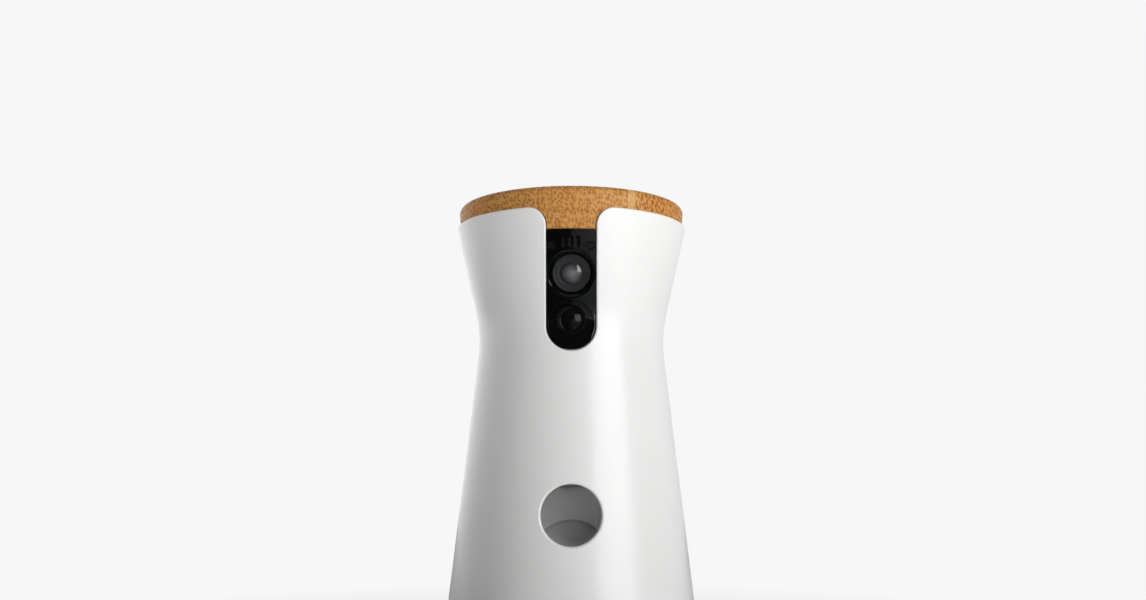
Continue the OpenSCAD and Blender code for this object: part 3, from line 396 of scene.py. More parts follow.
def edge_through(outline: Outline, lip: Lip, back: bool = False, base_depth: float = 0.0) -> Edge:
    """Makes a closed edge whose walls run straight along Y.

    Args:
        outline: Gives the x and z of the edge's points at a distance into the sheet.
        lip: How the edge is finished.
        back: Whether the edge is on the back of the housing.
        base_depth: Depth of the sheet's outer face.

    Returns:
        The edge.
    """
    rings = []
    for gap, depth in lip.stations():
        x, z = outline(gap)
        total = depth + base_depth
        turn = np.arcsin(np.clip(x / FORM.radius(z, total), -1, 1))
        if back:
            turn = (math.pi - turn)[::-1]
            z = z[::-1]
        rings.append(np.stack([turn, z, np.full(len(z), total)], axis=1))
    return Edge(rings)


def circle_outline(x: float, z: float, r: float, steps: int) -> Outline:
    """The outline of a round hole.

    Args:
        x: Where its middle is, to the right.
        z: Height of its middle.
        r: Its radius.
        steps: How many points go round.

    Returns:
        The outline.
    """
    around = full_turn(steps)

    def at(gap: float) -> tuple[np.ndarray, np.ndarray]:
        """Points at a distance into the sheet."""
        return x + (r + gap) * np.cos(around), z + (r + gap) * np.sin(around)

    return at


def stadium_outline(x: float, z: float, w: float, h: float, steps: int = 10) -> Outline:
    """The outline of a hole with two round ends, upright or lying.

    Args:
        x: Where its middle is, to the right.
        z: Height of its middle.
        w: Its width.
        h: Its height.
        steps: How many spans a quarter turn has.

    Returns:
        The outline.
    """
    r = min(w, h) / 2
    reach_x, reach_z = w / 2 - r, h / 2 - r
    corners = [(reach_x, reach_z, 0.0), (-reach_x, reach_z, 90.0),
               (-reach_x, -reach_z, 180.0), (reach_x, -reach_z, 270.0)]

    def at(gap: float) -> tuple[np.ndarray, np.ndarray]:
        """Points at a distance into the sheet.

        Args:
            gap: The distance.

        Returns:
            Their x and their z.
        """
        xs, zs = [], []
        for cx, cz, first in corners:
            for k in range(steps + 1):
                a = math.radians(first + 90 * k / steps)
                xs.append(x + cx + (r + gap) * math.cos(a))
                zs.append(z + cz + (r + gap) * math.sin(a))
        return np.array(xs), np.array(zs)

    return at


@dataclass
class Sheet:
    """A curved sheet of even thickness that follows the housing's form."""

    name: str
    edges: list[Edge]
    outer_depth: float
    inner_depth: float
    spacing: float = 2.6
    inner_spacing: float = 4.0
    flatten: float = 55.0
    seam: Optional[tuple[Edge, Edge]] = None
    # The numbers of the points in each ring, for each edge by its id
    at: dict[int, list[np.ndarray]] = field(default_factory=dict, init=False)

    def _flat(self, ring: np.ndarray) -> np.ndarray:
        """A ring's points in the flat region that is filled with triangles."""
        return np.stack([ring[:, 0] * self.flatten, ring[:, 1]], axis=1)

    def _face(self, which: int, depth: float, spacing: float, start: int) -> tuple[np.ndarray, np.ndarray]:
        """Fills the outer or inner face.

        Args:
            which: The ring of each edge that bounds the face: 0 or -1.
            depth: Depth of the face.
            spacing: Distance between its corners.
            start: Number of the first new point.

        Returns:
            New rows of angle, height and depth, and triangles of point numbers.
        """
        polygons, numbers, fresh = [], [], []
        if self.seam:
            top, bottom = self.seam
            t, b = top.rings[which], bottom.rings[which]
            rise = np.arange(b[0, 1] + spacing, t[-1, 1] - spacing / 2, spacing)
            right = extended(np.column_stack([np.full(len(rise), t[-1, 0]), rise]), depth)
            left = right.copy()
            left[:, 0] = t[0, 0]
            fresh = [right, left[::-1]]
            polygons.append(np.concatenate([
                self._flat(t)[::-1], self._flat(left)[::-1], self._flat(b)[::-1], self._flat(right)]))
            first_right, first_left = start, start + len(rise)
            numbers.append(np.concatenate([
                self.at[id(top)][which][::-1], np.arange(first_left, first_left + len(rise)),
                self.at[id(bottom)][which][::-1], np.arange(first_right, first_right + len(rise))]))
        for edge in self.edges:
            polygons.append(self._flat(edge.rings[which]))
            numbers.append(self.at[id(edge)][which])
        corners, triangles = fill(polygons, spacing)
        known = np.concatenate(numbers)
        count = start + sum(len(f) for f in fresh)
        extra = corners[len(known):]
        fresh.append(extended(np.column_stack([extra[:, 0] / self.flatten, extra[:, 1]]), depth))
        number = np.concatenate([known, np.arange(count, count + len(extra))])
        return np.concatenate(fresh), number[triangles]

    def make(self) -> Piece:
        """Builds the sheet as one closed mesh.

        Returns:
            The new piece.
        """
        rows: list[np.ndarray] = []
        faces: list[list[int]] = []
        total = 0
        for edge in self.edges + list(self.seam or ()):
            self.at[id(edge)] = []
            for ring in edge.rings:
                self.at[id(edge)].append(np.arange(total, total + len(ring)))
                rows.append(ring)
                total += len(ring)
            for a, b in zip(self.at[id(edge)], self.at[id(edge)][1:]):
                quads = band(int(a[0]), int(b[0]), len(a))
                faces += quads if edge.closed else quads[:-1]
        for which, depth, spacing in ((0, self.outer_depth, self.spacing),
                                      (-1, self.inner_depth, self.inner_spacing)):
            fresh, triangles = self._face(which, depth, spacing, total)
            rows.append(fresh)
            total += len(fresh)
            faces += (triangles if which == 0 else triangles[:, ::-1]).tolist()
        table = np.concatenate(rows)
        points = FORM.point(table[:, 0], table[:, 1], table[:, 2])
        piece = new_piece(self.name, points, faces, None)
        weld(piece)
        return piece


def weld(piece: Piece) -> None:
    """Merges points that meet, drops faces of no area and shades the mesh smooth.

    Args:
        piece: The piece, whose mesh is changed.
    """
    bm = bmesh.new()
    bm.from_mesh(piece.data)
    bmesh.ops.remove_doubles(bm, verts=bm.verts, dist=SAME_POINT * MM)
    bmesh.ops.dissolve_degenerate(bm, edges=bm.edges, dist=SAME_POINT * MM / 2)
    bm.to_mesh(piece.data)
    bm.free()
    piece.data.update()
    smooth(piece)


class Facing(Enum):
    """Which way a local frame's Z points, given as the frame's three axes in the model."""

    RIGHT = ((0, 1, 0), (0, 0, 1), (1, 0, 0))
    BACK = ((-1, 0, 0), (0, 0, 1), (0, 1, 0))


def local_frame(axes: Sequence[Point3], origin: Point3) -> np.ndarray:
    """A local frame as a 4 x 4 matrix, from its axes and its origin in the model."""
    return np.vstack([np.column_stack([*axes, origin]), (0, 0, 0, 1)]).astype(float)


def panel_frame(z: float) -> np.ndarray:
    """Places a local frame on the housing's front at a height, with its Z pointing straight out.

    Args:
        z: Height of the frame's origin.

    Returns:
        The frame.
    """
    lean = float(FORM.lean(z))
    up, out = (0, -math.sin(lean), math.cos(lean)), (0, -math.cos(lean), -math.sin(lean))
    return local_frame(((1, 0, 0), up, out), (0, -FORM.radius_at(z), z))


def axis_frame(x: float, y: float, z: float, facing: Facing) -> np.ndarray:
    """Places a local frame at a point, with its Z pointing along an axis of the model."""
    return local_frame(facing.value, (x, y, z))


def placed(points: np.ndarray, frame_at: np.ndarray) -> np.ndarray:
    """Moves points from a local frame into the model's."""
    return points @ frame_at[:3, :3].T + frame_at[:3, 3]


def turned(name: str, outline: Sequence[Point2], steps: int = 96,
           frame_at: Optional[np.ndarray] = None, smooth_angle: float = SHARP_DEG) -> Piece:
    """A piece made by turning a closed outline about an axis.

    Args:
        name: The piece's name.
        outline: Radius and height of each point, as lathe takes them.
        steps: How many points go round.
        frame_at: The local frame whose Z is the axis. With None, it is the model's.
        smooth_angle: Edges sharper than this, in degrees, stay sharp.

    Returns:
        The new object.
    """
    points, faces = lathe(outline, steps)
    if frame_at is not None:
        points = placed(points, frame_at)
    return new_piece(name, points, faces, smooth_angle)


def shape_rows(z: float, u: np.ndarray, v: np.ndarray, depth: float) -> np.ndarray:
    """Rows of angle, height and depth for points seen straight on at a height.

    Args:
        z: Height of the shape's middle.
        u: Distances to the right.
        v: Distances up along the surface.
        depth: Depth of the points behind the form's surface.

    Returns:
        One row for each point.
    """
    lean = float(FORM.lean(z))
    sag = depth + u**2 / (2 * (FORM.radius_at(z) - depth))
    height = z + v * math.cos(lean) + sag * math.sin(lean)
    turn = np.arcsin(np.clip(u / FORM.radius(height, depth), -1, 1))
    return np.stack([turn, height, np.full(len(u), depth)], axis=1)


def joined(name: str, parts: Sequence[Mesh]) -> Piece:
    """One piece made of several closed forms.

    Args:
        name: The piece's name.
        parts: Points and faces of each form.

    Returns:
        The new object.
    """
    points, faces, total = [], [], 0
    for some_points, some_faces in parts:
        points.append(some_points)
        faces += [[i + total for i in face] for face in some_faces]
        total += len(some_points)
    return new_piece(name, np.concatenate(points), faces)


def prism(outline: np.ndarray, low: float, high: float) -> Mesh:
    """A straight solid over an anticlockwise outline in X and Y.

    Args:
        outline: The outline's corners.
        low: Height of its underside.
        high: Height of its top.

    Returns:
        Points and faces.
    """
    n = len(outline)
    points = np.concatenate([extended(outline, low), extended(outline, high)])
    return points, band(0, n, n) + [list(range(n))[::-1], list(range(n, 2 * n))]


def bevelled(piece: Piece, width_mm: float) -> None:
    """Rounds the sharp edges of a piece and leaves no modifier behind.

    Args:
        piece: The piece.
        width_mm: How far in from each edge the rounding starts.
    """
    modifier = piece.modifiers.new("Edges", "BEVEL")
    modifier.width = width_mm * MM
    modifier.segments = 3
    modifier.limit_method = "ANGLE"
    modifier.angle_limit = math.radians(40)
    modifier.harden_normals = False
    bake(piece)
    smooth(piece)


def bake(piece: Piece) -> None:
    """Applies a piece's modifiers to its mesh.

    Args:
        piece: The piece, which is left without modifiers.
    """
    depsgraph = bpy.context.evaluated_depsgraph_get()
    mesh = bpy.data.meshes.new_from_object(piece.evaluated_get(depsgraph))
    piece.modifiers.clear()
    piece.data = mesh


def add_node(tree: bpy.types.NodeTree, kind: str, inputs: Optional[dict] = None,
             **settings: object) -> bpy.types.Node:
    """Adds a node to a tree.

    Args:
        tree: The tree of a material, a world or a geometry.
        kind: The node's type.
        inputs: A value or a socket for each named or numbered input.
        settings: The node's own settings.

    Returns:
        The new node.
    """
    node = tree.nodes.new(kind)
    for key, value in settings.items():
        setattr(node, key, value)
    for key, value in (inputs or {}).items():
        if isinstance(value, bpy.types.NodeSocket):
            tree.links.new(value, node.inputs[key])
        else:
            node.inputs[key].default_value = value
    return node


@dataclass(frozen=True)
class AroundAxis:
    """Repeats a mesh round the object's upright axis with Geometry Nodes."""

    count: int
    start_deg: float
    finish: str

    def _tree(self) -> tuple[bpy.types.GeometryNodeTree, dict[str, str]]:
        """Builds the tree.

        Returns:
            The tree, and the identifier of each input by its name.
        """
        tree = bpy.data.node_groups.new("Around the axis", "GeometryNodeTree")
        kinds = {"Piece": "NodeSocketGeometry", "Count": "NodeSocketInt", "Start": "NodeSocketFloat",
                 "Finish": "NodeSocketMaterial"}
        inputs = {name: tree.interface.new_socket(name, in_out="INPUT", socket_type=kind).identifier
                  for name, kind in kinds.items()}
        tree.interface.new_socket("Result", in_out="OUTPUT", socket_type="NodeSocketGeometry")

        enter = add_node(tree, "NodeGroupInput").outputs
        points = add_node(tree, "GeometryNodePoints", {"Count": enter["Count"]})
        step = add_node(tree, "ShaderNodeMath", {0: math.tau, 1: enter["Count"]}, operation="DIVIDE")
        index = add_node(tree, "GeometryNodeInputIndex")
        angle = add_node(tree, "ShaderNodeMath", {0: index.outputs[0], 1: step.outputs[0], 2: enter["Start"]},
                         operation="MULTIPLY_ADD")
        turn = add_node(tree, "ShaderNodeCombineXYZ", {"Z": angle.outputs[0]})
        copies = add_node(tree, "GeometryNodeInstanceOnPoints", {
            "Points": points.outputs[0], "Instance": enter["Piece"], "Rotation": turn.outputs[0]})
        solid = add_node(tree, "GeometryNodeRealizeInstances", {"Geometry": copies.outputs[0]})
        dressed = add_node(tree, "GeometryNodeSetMaterial", {"Geometry": solid.outputs[0],
                                                             "Material": enter["Finish"]})
        add_node(tree, "NodeGroupOutput", {"Result": dressed.outputs[0]})
        return tree, inputs

    def apply(self, piece: Piece) -> Piece:
        """Replaces a piece's mesh by its copies.

        Args:
            piece: The piece, with the mesh of one copy where it stands at angle 0.

        Returns:
            The same piece.
        """
        tree, inputs = self._tree()
        modifier = piece.modifiers.new("Copies", "NODES")
        modifier.node_group = tree
        modifier[inputs["Count"]] = self.count
        modifier[inputs["Start"]] = math.radians(self.start_deg)
        modifier[inputs["Finish"]] = finish_of(self.finish)
        bake(piece)
        return piece


def grid_solid(front: np.ndarray, back: np.ndarray) -> Mesh:
    """A closed plate between two grids of points of one size.

    Args:
        front: Rows x columns x 3 points, anticlockwise from outside: columns run to
            the right and rows upwards when it is looked at.
        back: The same for the far side.

    Returns:
        Points and faces.
    """
    rows, columns = front.shape[:2]
    count = rows * columns
    points = np.concatenate([front.reshape(-1, 3), back.reshape(-1, 3)])

    def at(r: int, c: int, side: int) -> int:
        """Number of a grid point."""
        return side * count + r * columns + c

    faces = []
    for r in range(rows - 1):
        for c in range(columns - 1):
            faces.append([at(r, c, 0), at(r, c + 1, 0), at(r + 1, c + 1, 0), at(r + 1, c, 0)])
            faces.append([at(r, c, 1), at(r + 1, c, 1), at(r + 1, c + 1, 1), at(r, c + 1, 1)])
    for c in range(columns - 1):
        for r, low, high in ((0, 1, 0), (rows - 1, 0, 1)):
            faces.append([at(r, c, low), at(r, c + 1, low), at(r, c + 1, high), at(r, c, high)])
    for r in range(rows - 1):
        for c, left, right in ((0, 1, 0), (columns - 1, 0, 1)):
            faces.append([at(r, c, left), at(r, c, right), at(r + 1, c, right), at(r + 1, c, left)])
    return points, faces


# ---------------------------------------------------------------- the pieces


@dataclass
class HousingShell:
    """The white housing: a waisted wall with the camera slot, treat hole and openings."""

    low_z: float = 9.2
    wall: float = 2.6
    slot_r: float = 12.25
    slot_z: float = 157.9
    corner_r: float = 9.2
    rim_round: float = 0.9
    rim_lip: float = 1.25
    ledge_z: float = 212.3
    hole_r: float = 14.3
    hole_z: float = 67.4
    hole_round: float = 1.3
    collar: float = 1.7
    collar_depth: float = 4.5
    grille_z: float = 46.0
    grille_pitch: float = 4.0
    grille_r: float = 0.9
    grille_round: float = 0.15
    opening_round: float = 0.25
    foot_round: float = 0.4
    # The socket's opening: height of its middle, its width and its height
    socket: Point3 = (15.0, 9.5, 3.7)
    # The button's opening: x and height of its middle, and its radius
    button: Point3 = (-15.0, 15.4, 2.85)
    bosses: int = 4
    boss_deg: float = 45.0
    boss_at: float = 56.0
    boss_r: float = 3.55
    boss_h: float = 18.0
    pilot_r: float = 1.5
    web_t: float = 2.4
    web_sunk: float = 0.3
    seam_deg: float = -100.0
    rim_clear: float = 0.012
    steps: int = 360

    @property
    def seam_span(self) -> Point2:
        """Angles from the front, in radians, where the wall's outline starts and stops."""
        return math.radians(self.seam_deg), math.radians(self.seam_deg + 360)

    @property
    def rim_from(self) -> float:
        """Angle from the front, in radians, where the rim leaves the slot's rounded corner."""
        reach = self.slot_r + self.corner_r
        return math.asin(reach / FORM.radius_at(FORM.rim_z, self.wall)) + self.rim_clear

    def _rim_turns(self, first: float, last: float) -> np.ndarray:
        """Evenly spread angles along the rim, without the first and last."""
        count = max(2, int(abs(last - first) / (2 * math.pi) * self.steps))
        return np.linspace(first, last, count + 1)[1:-1]

    def _top_ring(self, gap: float, depth: float, ceiling: float = 1e9) -> np.ndarray:
        """The rim and the slot's edge, from one side of the seam round to the other.

        Args:
            gap: Distance into the wall's face.
            depth: Depth behind the outer face.
            ceiling: Height that no point rises above.

        Returns:
            Rows of angle, height and depth.
        """
        r, w, mid = self.corner_r - gap, self.slot_r + gap, self.slot_r + self.corner_r
        top, shoulder_z = FORM.rim_z - gap, FORM.rim_z - self.corner_r
        quarter = np.linspace(math.pi / 2, 0, 25)
        left = np.stack([-mid + r * np.cos(quarter), shoulder_z + r * np.sin(quarter)], axis=1)
        drop = np.linspace(shoulder_z, self.slot_z, 25)[1:-1]
        side = np.stack([np.full(len(drop), -w), drop], axis=1)
        half = np.linspace(math.pi, 2 * math.pi, 49)
        end = np.stack([w * np.cos(half), self.slot_z + w * np.sin(half)], axis=1)
        mirror = np.array([-1.0, 1.0])
        path = np.concatenate([left, side, end, side[::-1] * mirror, left[::-1] * mirror])
        turn = np.arcsin(path[:, 0] / FORM.radius(path[:, 1], depth))
        start, stop = self.seam_span
        before = np.concatenate([[start], self._rim_turns(start, -self.rim_from)])
        after = np.concatenate([self._rim_turns(self.rim_from, stop), [stop]])
        turns = np.concatenate([before, turn, after])
        heights = np.concatenate([np.full(len(before), top), path[:, 1], np.full(len(after), top)])
        return extended(np.column_stack([turns, np.minimum(heights, ceiling)]), depth)

    def _bottom_ring(self, gap: float, depth: float) -> np.ndarray:
        """The lower edge, all the way round."""
        turns = np.linspace(*self.seam_span[::-1], self.steps + 1)
        return extended(extended(turns, self.low_z + gap), depth)

    def make(self) -> Piece:
        """Builds the wall.

        Returns:
            The new piece.
        """
        rim = Lip(self.rim_round, self.rim_lip)
        top = [self._top_ring(gap, depth) for gap, depth in rim.stations()]
        top += [self._top_ring(0, self.rim_lip, self.ledge_z), self._top_ring(0, self.wall, self.ledge_z)]
        foot = Lip(self.foot_round, self.wall, 4)
        bottom = [self._bottom_ring(gap, depth) for gap, depth in foot.stations()]
        hole_lip = Lip(self.hole_round, self.collar_depth, 8,
                       after=((self.collar, self.collar_depth), (self.collar, self.wall)))
        small = Lip(self.opening_round, self.wall, 3, 0.2)
        edges = [edge_through(circle_outline(0, self.hole_z, self.hole_r, 128), hole_lip)]
        z, w, h = self.socket
        edges.append(edge_through(stadium_outline(0, z, w, h), small, back=True))
        x, z, r = self.button
        edges.append(edge_through(circle_outline(x, z, r, 40), small, back=True))
        tiny = Lip(self.grille_round, self.wall, 2, 0.1)
        for x, z in self.grille_places():
            edges.append(edge_through(circle_outline(x, z, self.grille_r, 16), tiny, back=True))
        sheet = Sheet("white_shell", edges, 0.0, self.wall, seam=(Edge(top, False), Edge(bottom, False)))
        return sheet.make()

    def grille_places(self) -> list[Point2]:
        """Centres of the small holes in front of the loudspeaker.

        Returns:
            The x and the height of each hole.
        """
        return [((k - (4 - abs(row)) / 2) * self.grille_pitch,
                 self.grille_z + row * self.grille_pitch * math.sqrt(3) / 2)
                for row in range(-2, 3) for k in range(5 - abs(row))]

    def make_bosses(self) -> Piece:
        """Builds the four screw bosses inside the lower edge, each with a web to the wall.

        Returns:
            The new piece.
        """
        low, top, r = self.low_z, self.low_z + self.boss_h, self.boss_r
        points, faces = lathe(rounded([(self.pilot_r, low, 0), (r, low, 0.3), (r, top, 0.4),
                                       (self.pilot_r, top, 0)], 3), 32)
        inner = self.boss_at + r - self.web_sunk
        low_end, top_end = (FORM.radius_at(z, self.wall / 2) for z in (low, top))
        web = np.array([(inner, low), (low_end, low), (top_end, top), (inner, top)])
        wall, wall_faces = prism(web, -self.web_t / 2, self.web_t / 2)
        wall = wall[:, (0, 2, 1)] * np.array([1, -1, 1])
        one = joined("screw_bosses", [(points + np.array([self.boss_at, 0, 0]), faces), (wall, wall_faces)])
        return AroundAxis(self.bosses, self.boss_deg, "housing").apply(one)


@dataclass
class CameraPanel:
    """The glossy black panel in the slot, with its holes and dish."""

    depth: float = 0.35
    thickness: float = 2.0
    half_w: float = 11.8
    end_z: float = 157.9
    top_z: float = 203.5
    lens_z: float = 182.5
    bevel_r: float = 11.6
    lens_hole_r: float = 10.2
    dish_z: float = 158.7
    dish_r: float = 11.1
    dish_depth: float = 0.75
    lamp_z: float = 160.4
    lamp_r: float = 7.25
    mic_z: float = 197.5
    mic_pitch: float = 3.2
    mic: Point2 = (1.8, 5.4)
    window_z: float = 195.4
    window_x: float = 9.3
    window_r: float = 2.15

    def _outline(self, gap: float) -> tuple[np.ndarray, np.ndarray]:
        """The panel's outer edge, clockwise from outside, moved in by a distance.

        Args:
            gap: The distance.

        Returns:
            Its x and its z.
        """
        w, top = self.half_w - gap, self.top_z - gap
        rise = np.linspace(self.end_z, top, 30)[1:-1]
        half = np.linspace(0, -math.pi, 65)
        across = np.linspace(-w, w, 15)
        x = np.concatenate([w * np.cos(half), np.full(len(rise), -w), across, np.full(len(rise), w)])
        z = np.concatenate([self.end_z + w * np.sin(half), rise, np.full(len(across), top), rise[::-1]])
        return x, z

    def _rings(self, z: float, shape: Outline, stations: Sequence[Point2], x: float = 0.0) -> Rings:
        """Rings of a hole whose walls run straight into the panel.

        Args:
            z: Height of the hole's middle.
            shape: The hole's outline about its middle.
            stations: Distance into the panel's face and depth of each ring.
            x: Where the hole's middle is, to the right.

        Returns:
            The rings.
        """
        rings = []
        for gap, depth in stations:
            u, v = shape(gap)
            rings.append(shape_rows(z, u + x, v, depth + self.depth))
        return rings

    def make(self) -> Piece:
        """Builds the panel.

        Returns:
            The new piece.
        """
        back, dish = self.thickness, self.dish_depth
        edges = [edge_through(self._outline, Lip(0.12, back, 4, 0.01), base_depth=self.depth)]
        flare = self.bevel_r - self.lens_hole_r
        lens = circle_outline(0, 0, self.lens_hole_r, 112)
        edges.append(Edge(self._rings(self.lens_z, lens, (
            (flare + 0.05, 0), (flare + 0.03, 0.01), (flare, 0.06), (flare - 0.1, 0.16),
            (0.12, 1.12), (0.02, 1.2), (0, 1.32), (0, back)))))
        wall = self._rings(self.dish_z, circle_outline(0, 0, self.dish_r, 112), (
            (0.3, 0), (0.1, 0.01), (0.02, 0.06), (0, 0.16), (0, dish - 0.12), (-0.05, dish - 0.03),
            (-0.2, dish)))
        lamp = self._rings(self.lamp_z, circle_outline(0, 0, self.lamp_r, 112), (
            (0.25, dish), (0.05, dish + 0.03), (0, dish + 0.15), (0, back)))
        edges.append(Edge(wall + lamp))
        small, tight = Lip(0.18, back, 3, 0.12).stations(), Lip(0.1, back, 3, 0.05).stations()
        slot, window = stadium_outline(0, 0, *self.mic, 8), circle_outline(0, 0, self.window_r, 40)
        for k in (-1, 0, 1):
            edges.append(Edge(self._rings(self.mic_z, slot, small, k * self.mic_pitch)))
        for side in (-1, 1):
            edges.append(Edge(self._rings(self.window_z, window, tight, side * self.window_x)))
        sheet = Sheet("black_panel", edges, self.depth, self.depth + back, 1.6, 2.4)
        return sheet.make()


def dome(r: float, bulge_r: float, top: float, low: float, steps: int) -> list[Point2]:
    """The outline of a lens with a flat back and a bulging front.

    Args:
        r: Radius of the lens.
        bulge_r: Radius of the bulge.
        top: Height of the bulge's middle.
        low: Height of the flat back.
        steps: How many points the bulge has.

    Returns:
        Radius and height of each point.
    """
    spread = math.asin(r / bulge_r)
    bulge = [(bulge_r * math.sin(a), top - bulge_r * (1 - math.cos(a)))
             for a in np.linspace(spread, 0, steps)]
    return [(0.0, low), (r, low)] + bulge[:-1] + [(0.0, top)]


@dataclass
class MainCamera:
    """The main lens: its barrel with stepped rings, and the domed glass."""

    z: float = 182.5
    face_r: float = 9.05
    face_depth: float = 0.9
    glass_r: float = 5.0
    glass_t: float = 3.8
    dome_r: float = 14.0
    dome_top: float = 0.0
    back_r: float = 7.25
    length: float = 15.0

    def make_barrel(self) -> Piece:
        """Builds the barrel.

        Returns:
            The new piece.
        """
        f, d = self.face_r, -self.face_depth
        # The shank, the flange, the face with its groove, the cone and the seat of the glass
        outline = rounded([
            (0, d - self.length, 0), (self.back_r, d - self.length, 0.3), (self.back_r, d - 5, 0),
            (f, d - 5, 0.2), (f, d, 0.18), (f - 0.55, d, 0.1), (f - 0.7, d - 0.22, 0.08),
            (f - 1.5, d - 0.3, 0.05), (f - 1.65, d - 0.12, 0.06), (self.glass_r + 0.45, d - 0.42, 0.1),
            (self.glass_r + 0.1, d - 0.3, 0.05), (self.glass_r + 0.1, d - 3, 0), (0, d - 3, 0)], 4)
        return turned("lens_barrel_rings", outline, 128, panel_frame(self.z))

    def make_glass(self) -> Piece:
        """Builds the domed glass."""
        outline = dome(self.glass_r, self.dome_r, self.dome_top, self.dome_top - self.glass_t, 14)
        return turned("lens_dome", outline, 128, panel_frame(self.z), LENS_SHARP_DEG)


@dataclass
class NightLamp:
    """The night lamp: its round window and the bulging lens in the middle."""

    z: float = 160.4
    window_r: float = 7.2
    window_depth: float = 1.5
    lens_r: float = 5.1
    bulge_r: float = 9.0
    top_depth: float = 0.5
    back_depth: float = 3.2

    def make_window(self) -> Piece:
        """Builds the ring-shaped window.

        Returns:
            The new piece.
        """
        d, r, hole = -self.window_depth, self.window_r, self.lens_r + 0.1
        outline = rounded([(hole, d - 1.2, 0), (r, d - 1.2, 0), (r, d, 0.12), (r - 0.6, d, 0.06),
                           (r - 0.75, d - 0.15, 0.06), (hole + 0.35, d - 0.15, 0.06),
                           (hole, d - 0.3, 0.05)], 3)
        return turned("lamp_window_ring", outline, 112, panel_frame(self.z))

    def make_lens(self) -> Piece:
        """Builds the bulging lens."""
        outline = dome(self.lens_r, self.bulge_r, -self.top_depth, -self.back_depth, 16)
        return turned("lamp_dome", outline, 112, panel_frame(self.z), LENS_SHARP_DEG)


@dataclass
class PanelSensors:
    """What shows in the panel's two small windows. The microphones are shown as their CAD node."""

    window_z: float = 195.4
    window_x: float = 9.3
    window_r: float = 2.0
    sunk: float = 1.0
    length: float = 5.0

    def make_windows(self) -> Piece:
        """Builds the two sensor windows.

        Returns:
            The new piece.
        """
        low = -self.sunk - self.length
        outline = rounded([(0, low, 0), (self.window_r, low, 0), (self.window_r, -self.sunk, 0.25),
                           (self.window_r - 0.5, -self.sunk - 0.1, 0.1), (0, -self.sunk - 0.05, 0)], 3)
        points, faces = lathe(outline, 40)
        parts = []
        for side in (-1, 1):
            x = side * self.window_x
            sag = x**2 / (2 * FORM.radius_at(self.window_z))
            parts.append((placed(points + np.array([x, 0, -sag]), panel_frame(self.window_z)), faces))
        return joined("sensor_windows", parts)


@dataclass
class Lid:
    """The wooden lid: a thick cap, the plug below it and the tongue that fills the slot."""

    seam_z: float = 212.6
    top_z: float = 225.0
    step: float = 1.6
    lean_deg: float = 5.0
    edge_r: float = 3.0
    plug_low_z: float = 203.9
    plug_depth: float = 3.6
    seal_z: float = 206.3
    seal_h: float = 3.0
    groove_depth: float = 1.0
    tongue_w: float = 11.9
    tongue_extra: float = 0.6
    shoulder_x: float = 21.45
    shoulder_z: float = 205.3
    shoulder_r: float = 9.55

    def side_r(self, z: float) -> float:
        """Radius of the cap's side at a height."""
        lean = math.radians(self.lean_deg)
        return FORM.radius_at(self.seam_z, self.step) + (z - self.seam_z) * math.tan(lean)

    def make_cap(self) -> Piece:
        """Builds the cap.

        Returns:
            The new piece.
        """
        low, high = self.side_r(self.seam_z), self.side_r(self.top_z)
        outline = rounded([(0, self.seam_z, 0), (low, self.seam_z, 0.3), (high, self.top_z, self.edge_r),
                           (0, self.top_z, 0)], 14)
        # More rings on the flat faces, so that no face is long and thin
        inner = [(r, self.seam_z) for r in (20.0, 40.0, 52.0)]
        outer = [(r, self.top_z) for r in (54.0, 44.0, 30.0, 15.0)]
        outline = [outline[0]] + inner + outline[1:-1] + outer + [outline[-1]]
        return turned("wood_cap", outline, 240)

    def make_plug(self) -> Piece:
        """Builds the plug under the cap, with the groove for the seal.

        Returns:
            The new piece.
        """
        r = FORM.radius_at
        low, seam, seal, d = self.plug_low_z, self.seam_z, self.seal_z, self.plug_depth
        groove, deep = seal + self.seal_h, d + self.groove_depth
        outline = rounded([
            (0, low, 0), (r(low, d), low, 0.8), (r(seal, d), seal, 0.1), (r(seal, deep), seal, 0.1),
            (r(groove, deep), groove, 0.1), (r(groove, d), groove, 0.1), (r(seam, d), seam, 0),
            (0, seam, 0)], 4)
        return turned("wood_plug", outline, 200)

    def _tongue(self, gap: float) -> tuple[np.ndarray, np.ndarray]:
        """The tongue's outline, clockwise from outside, moved in by a distance.

        Args:
            gap: The distance.

        Returns:
            Its x and its z.
        """
        r, low, high = self.shoulder_r + gap, self.plug_low_z + gap, self.seam_z - gap
        w = self.tongue_w - gap
        flare = np.linspace(0, math.asin((high - self.shoulder_z) / r), 12)
        side_x = np.concatenate([[w, w], self.shoulder_x - r * np.cos(flare[1:])])
        side_z = np.concatenate([[low, self.shoulder_z], self.shoulder_z + r * np.sin(flare[1:])])
        across = np.linspace(1, -1, 13)[1:-1]
        flat = np.ones(len(across))
        x = np.concatenate([side_x[::-1], w * across, -side_x, -side_x[-1] * across])
        z = np.concatenate([side_z[::-1], low * flat, side_z, high * flat])
        return x, z

    def make_tongue(self) -> Piece:
        """Builds the tongue.

        Returns:
            The new piece.
        """
        thick = self.plug_depth + self.tongue_extra - self.step
        edge = edge_through(self._tongue, Lip(0.3, thick, 4), base_depth=self.step)
        return Sheet("wood_tongue", [edge], self.step, self.step + thick, 1.8, 2.6).make()


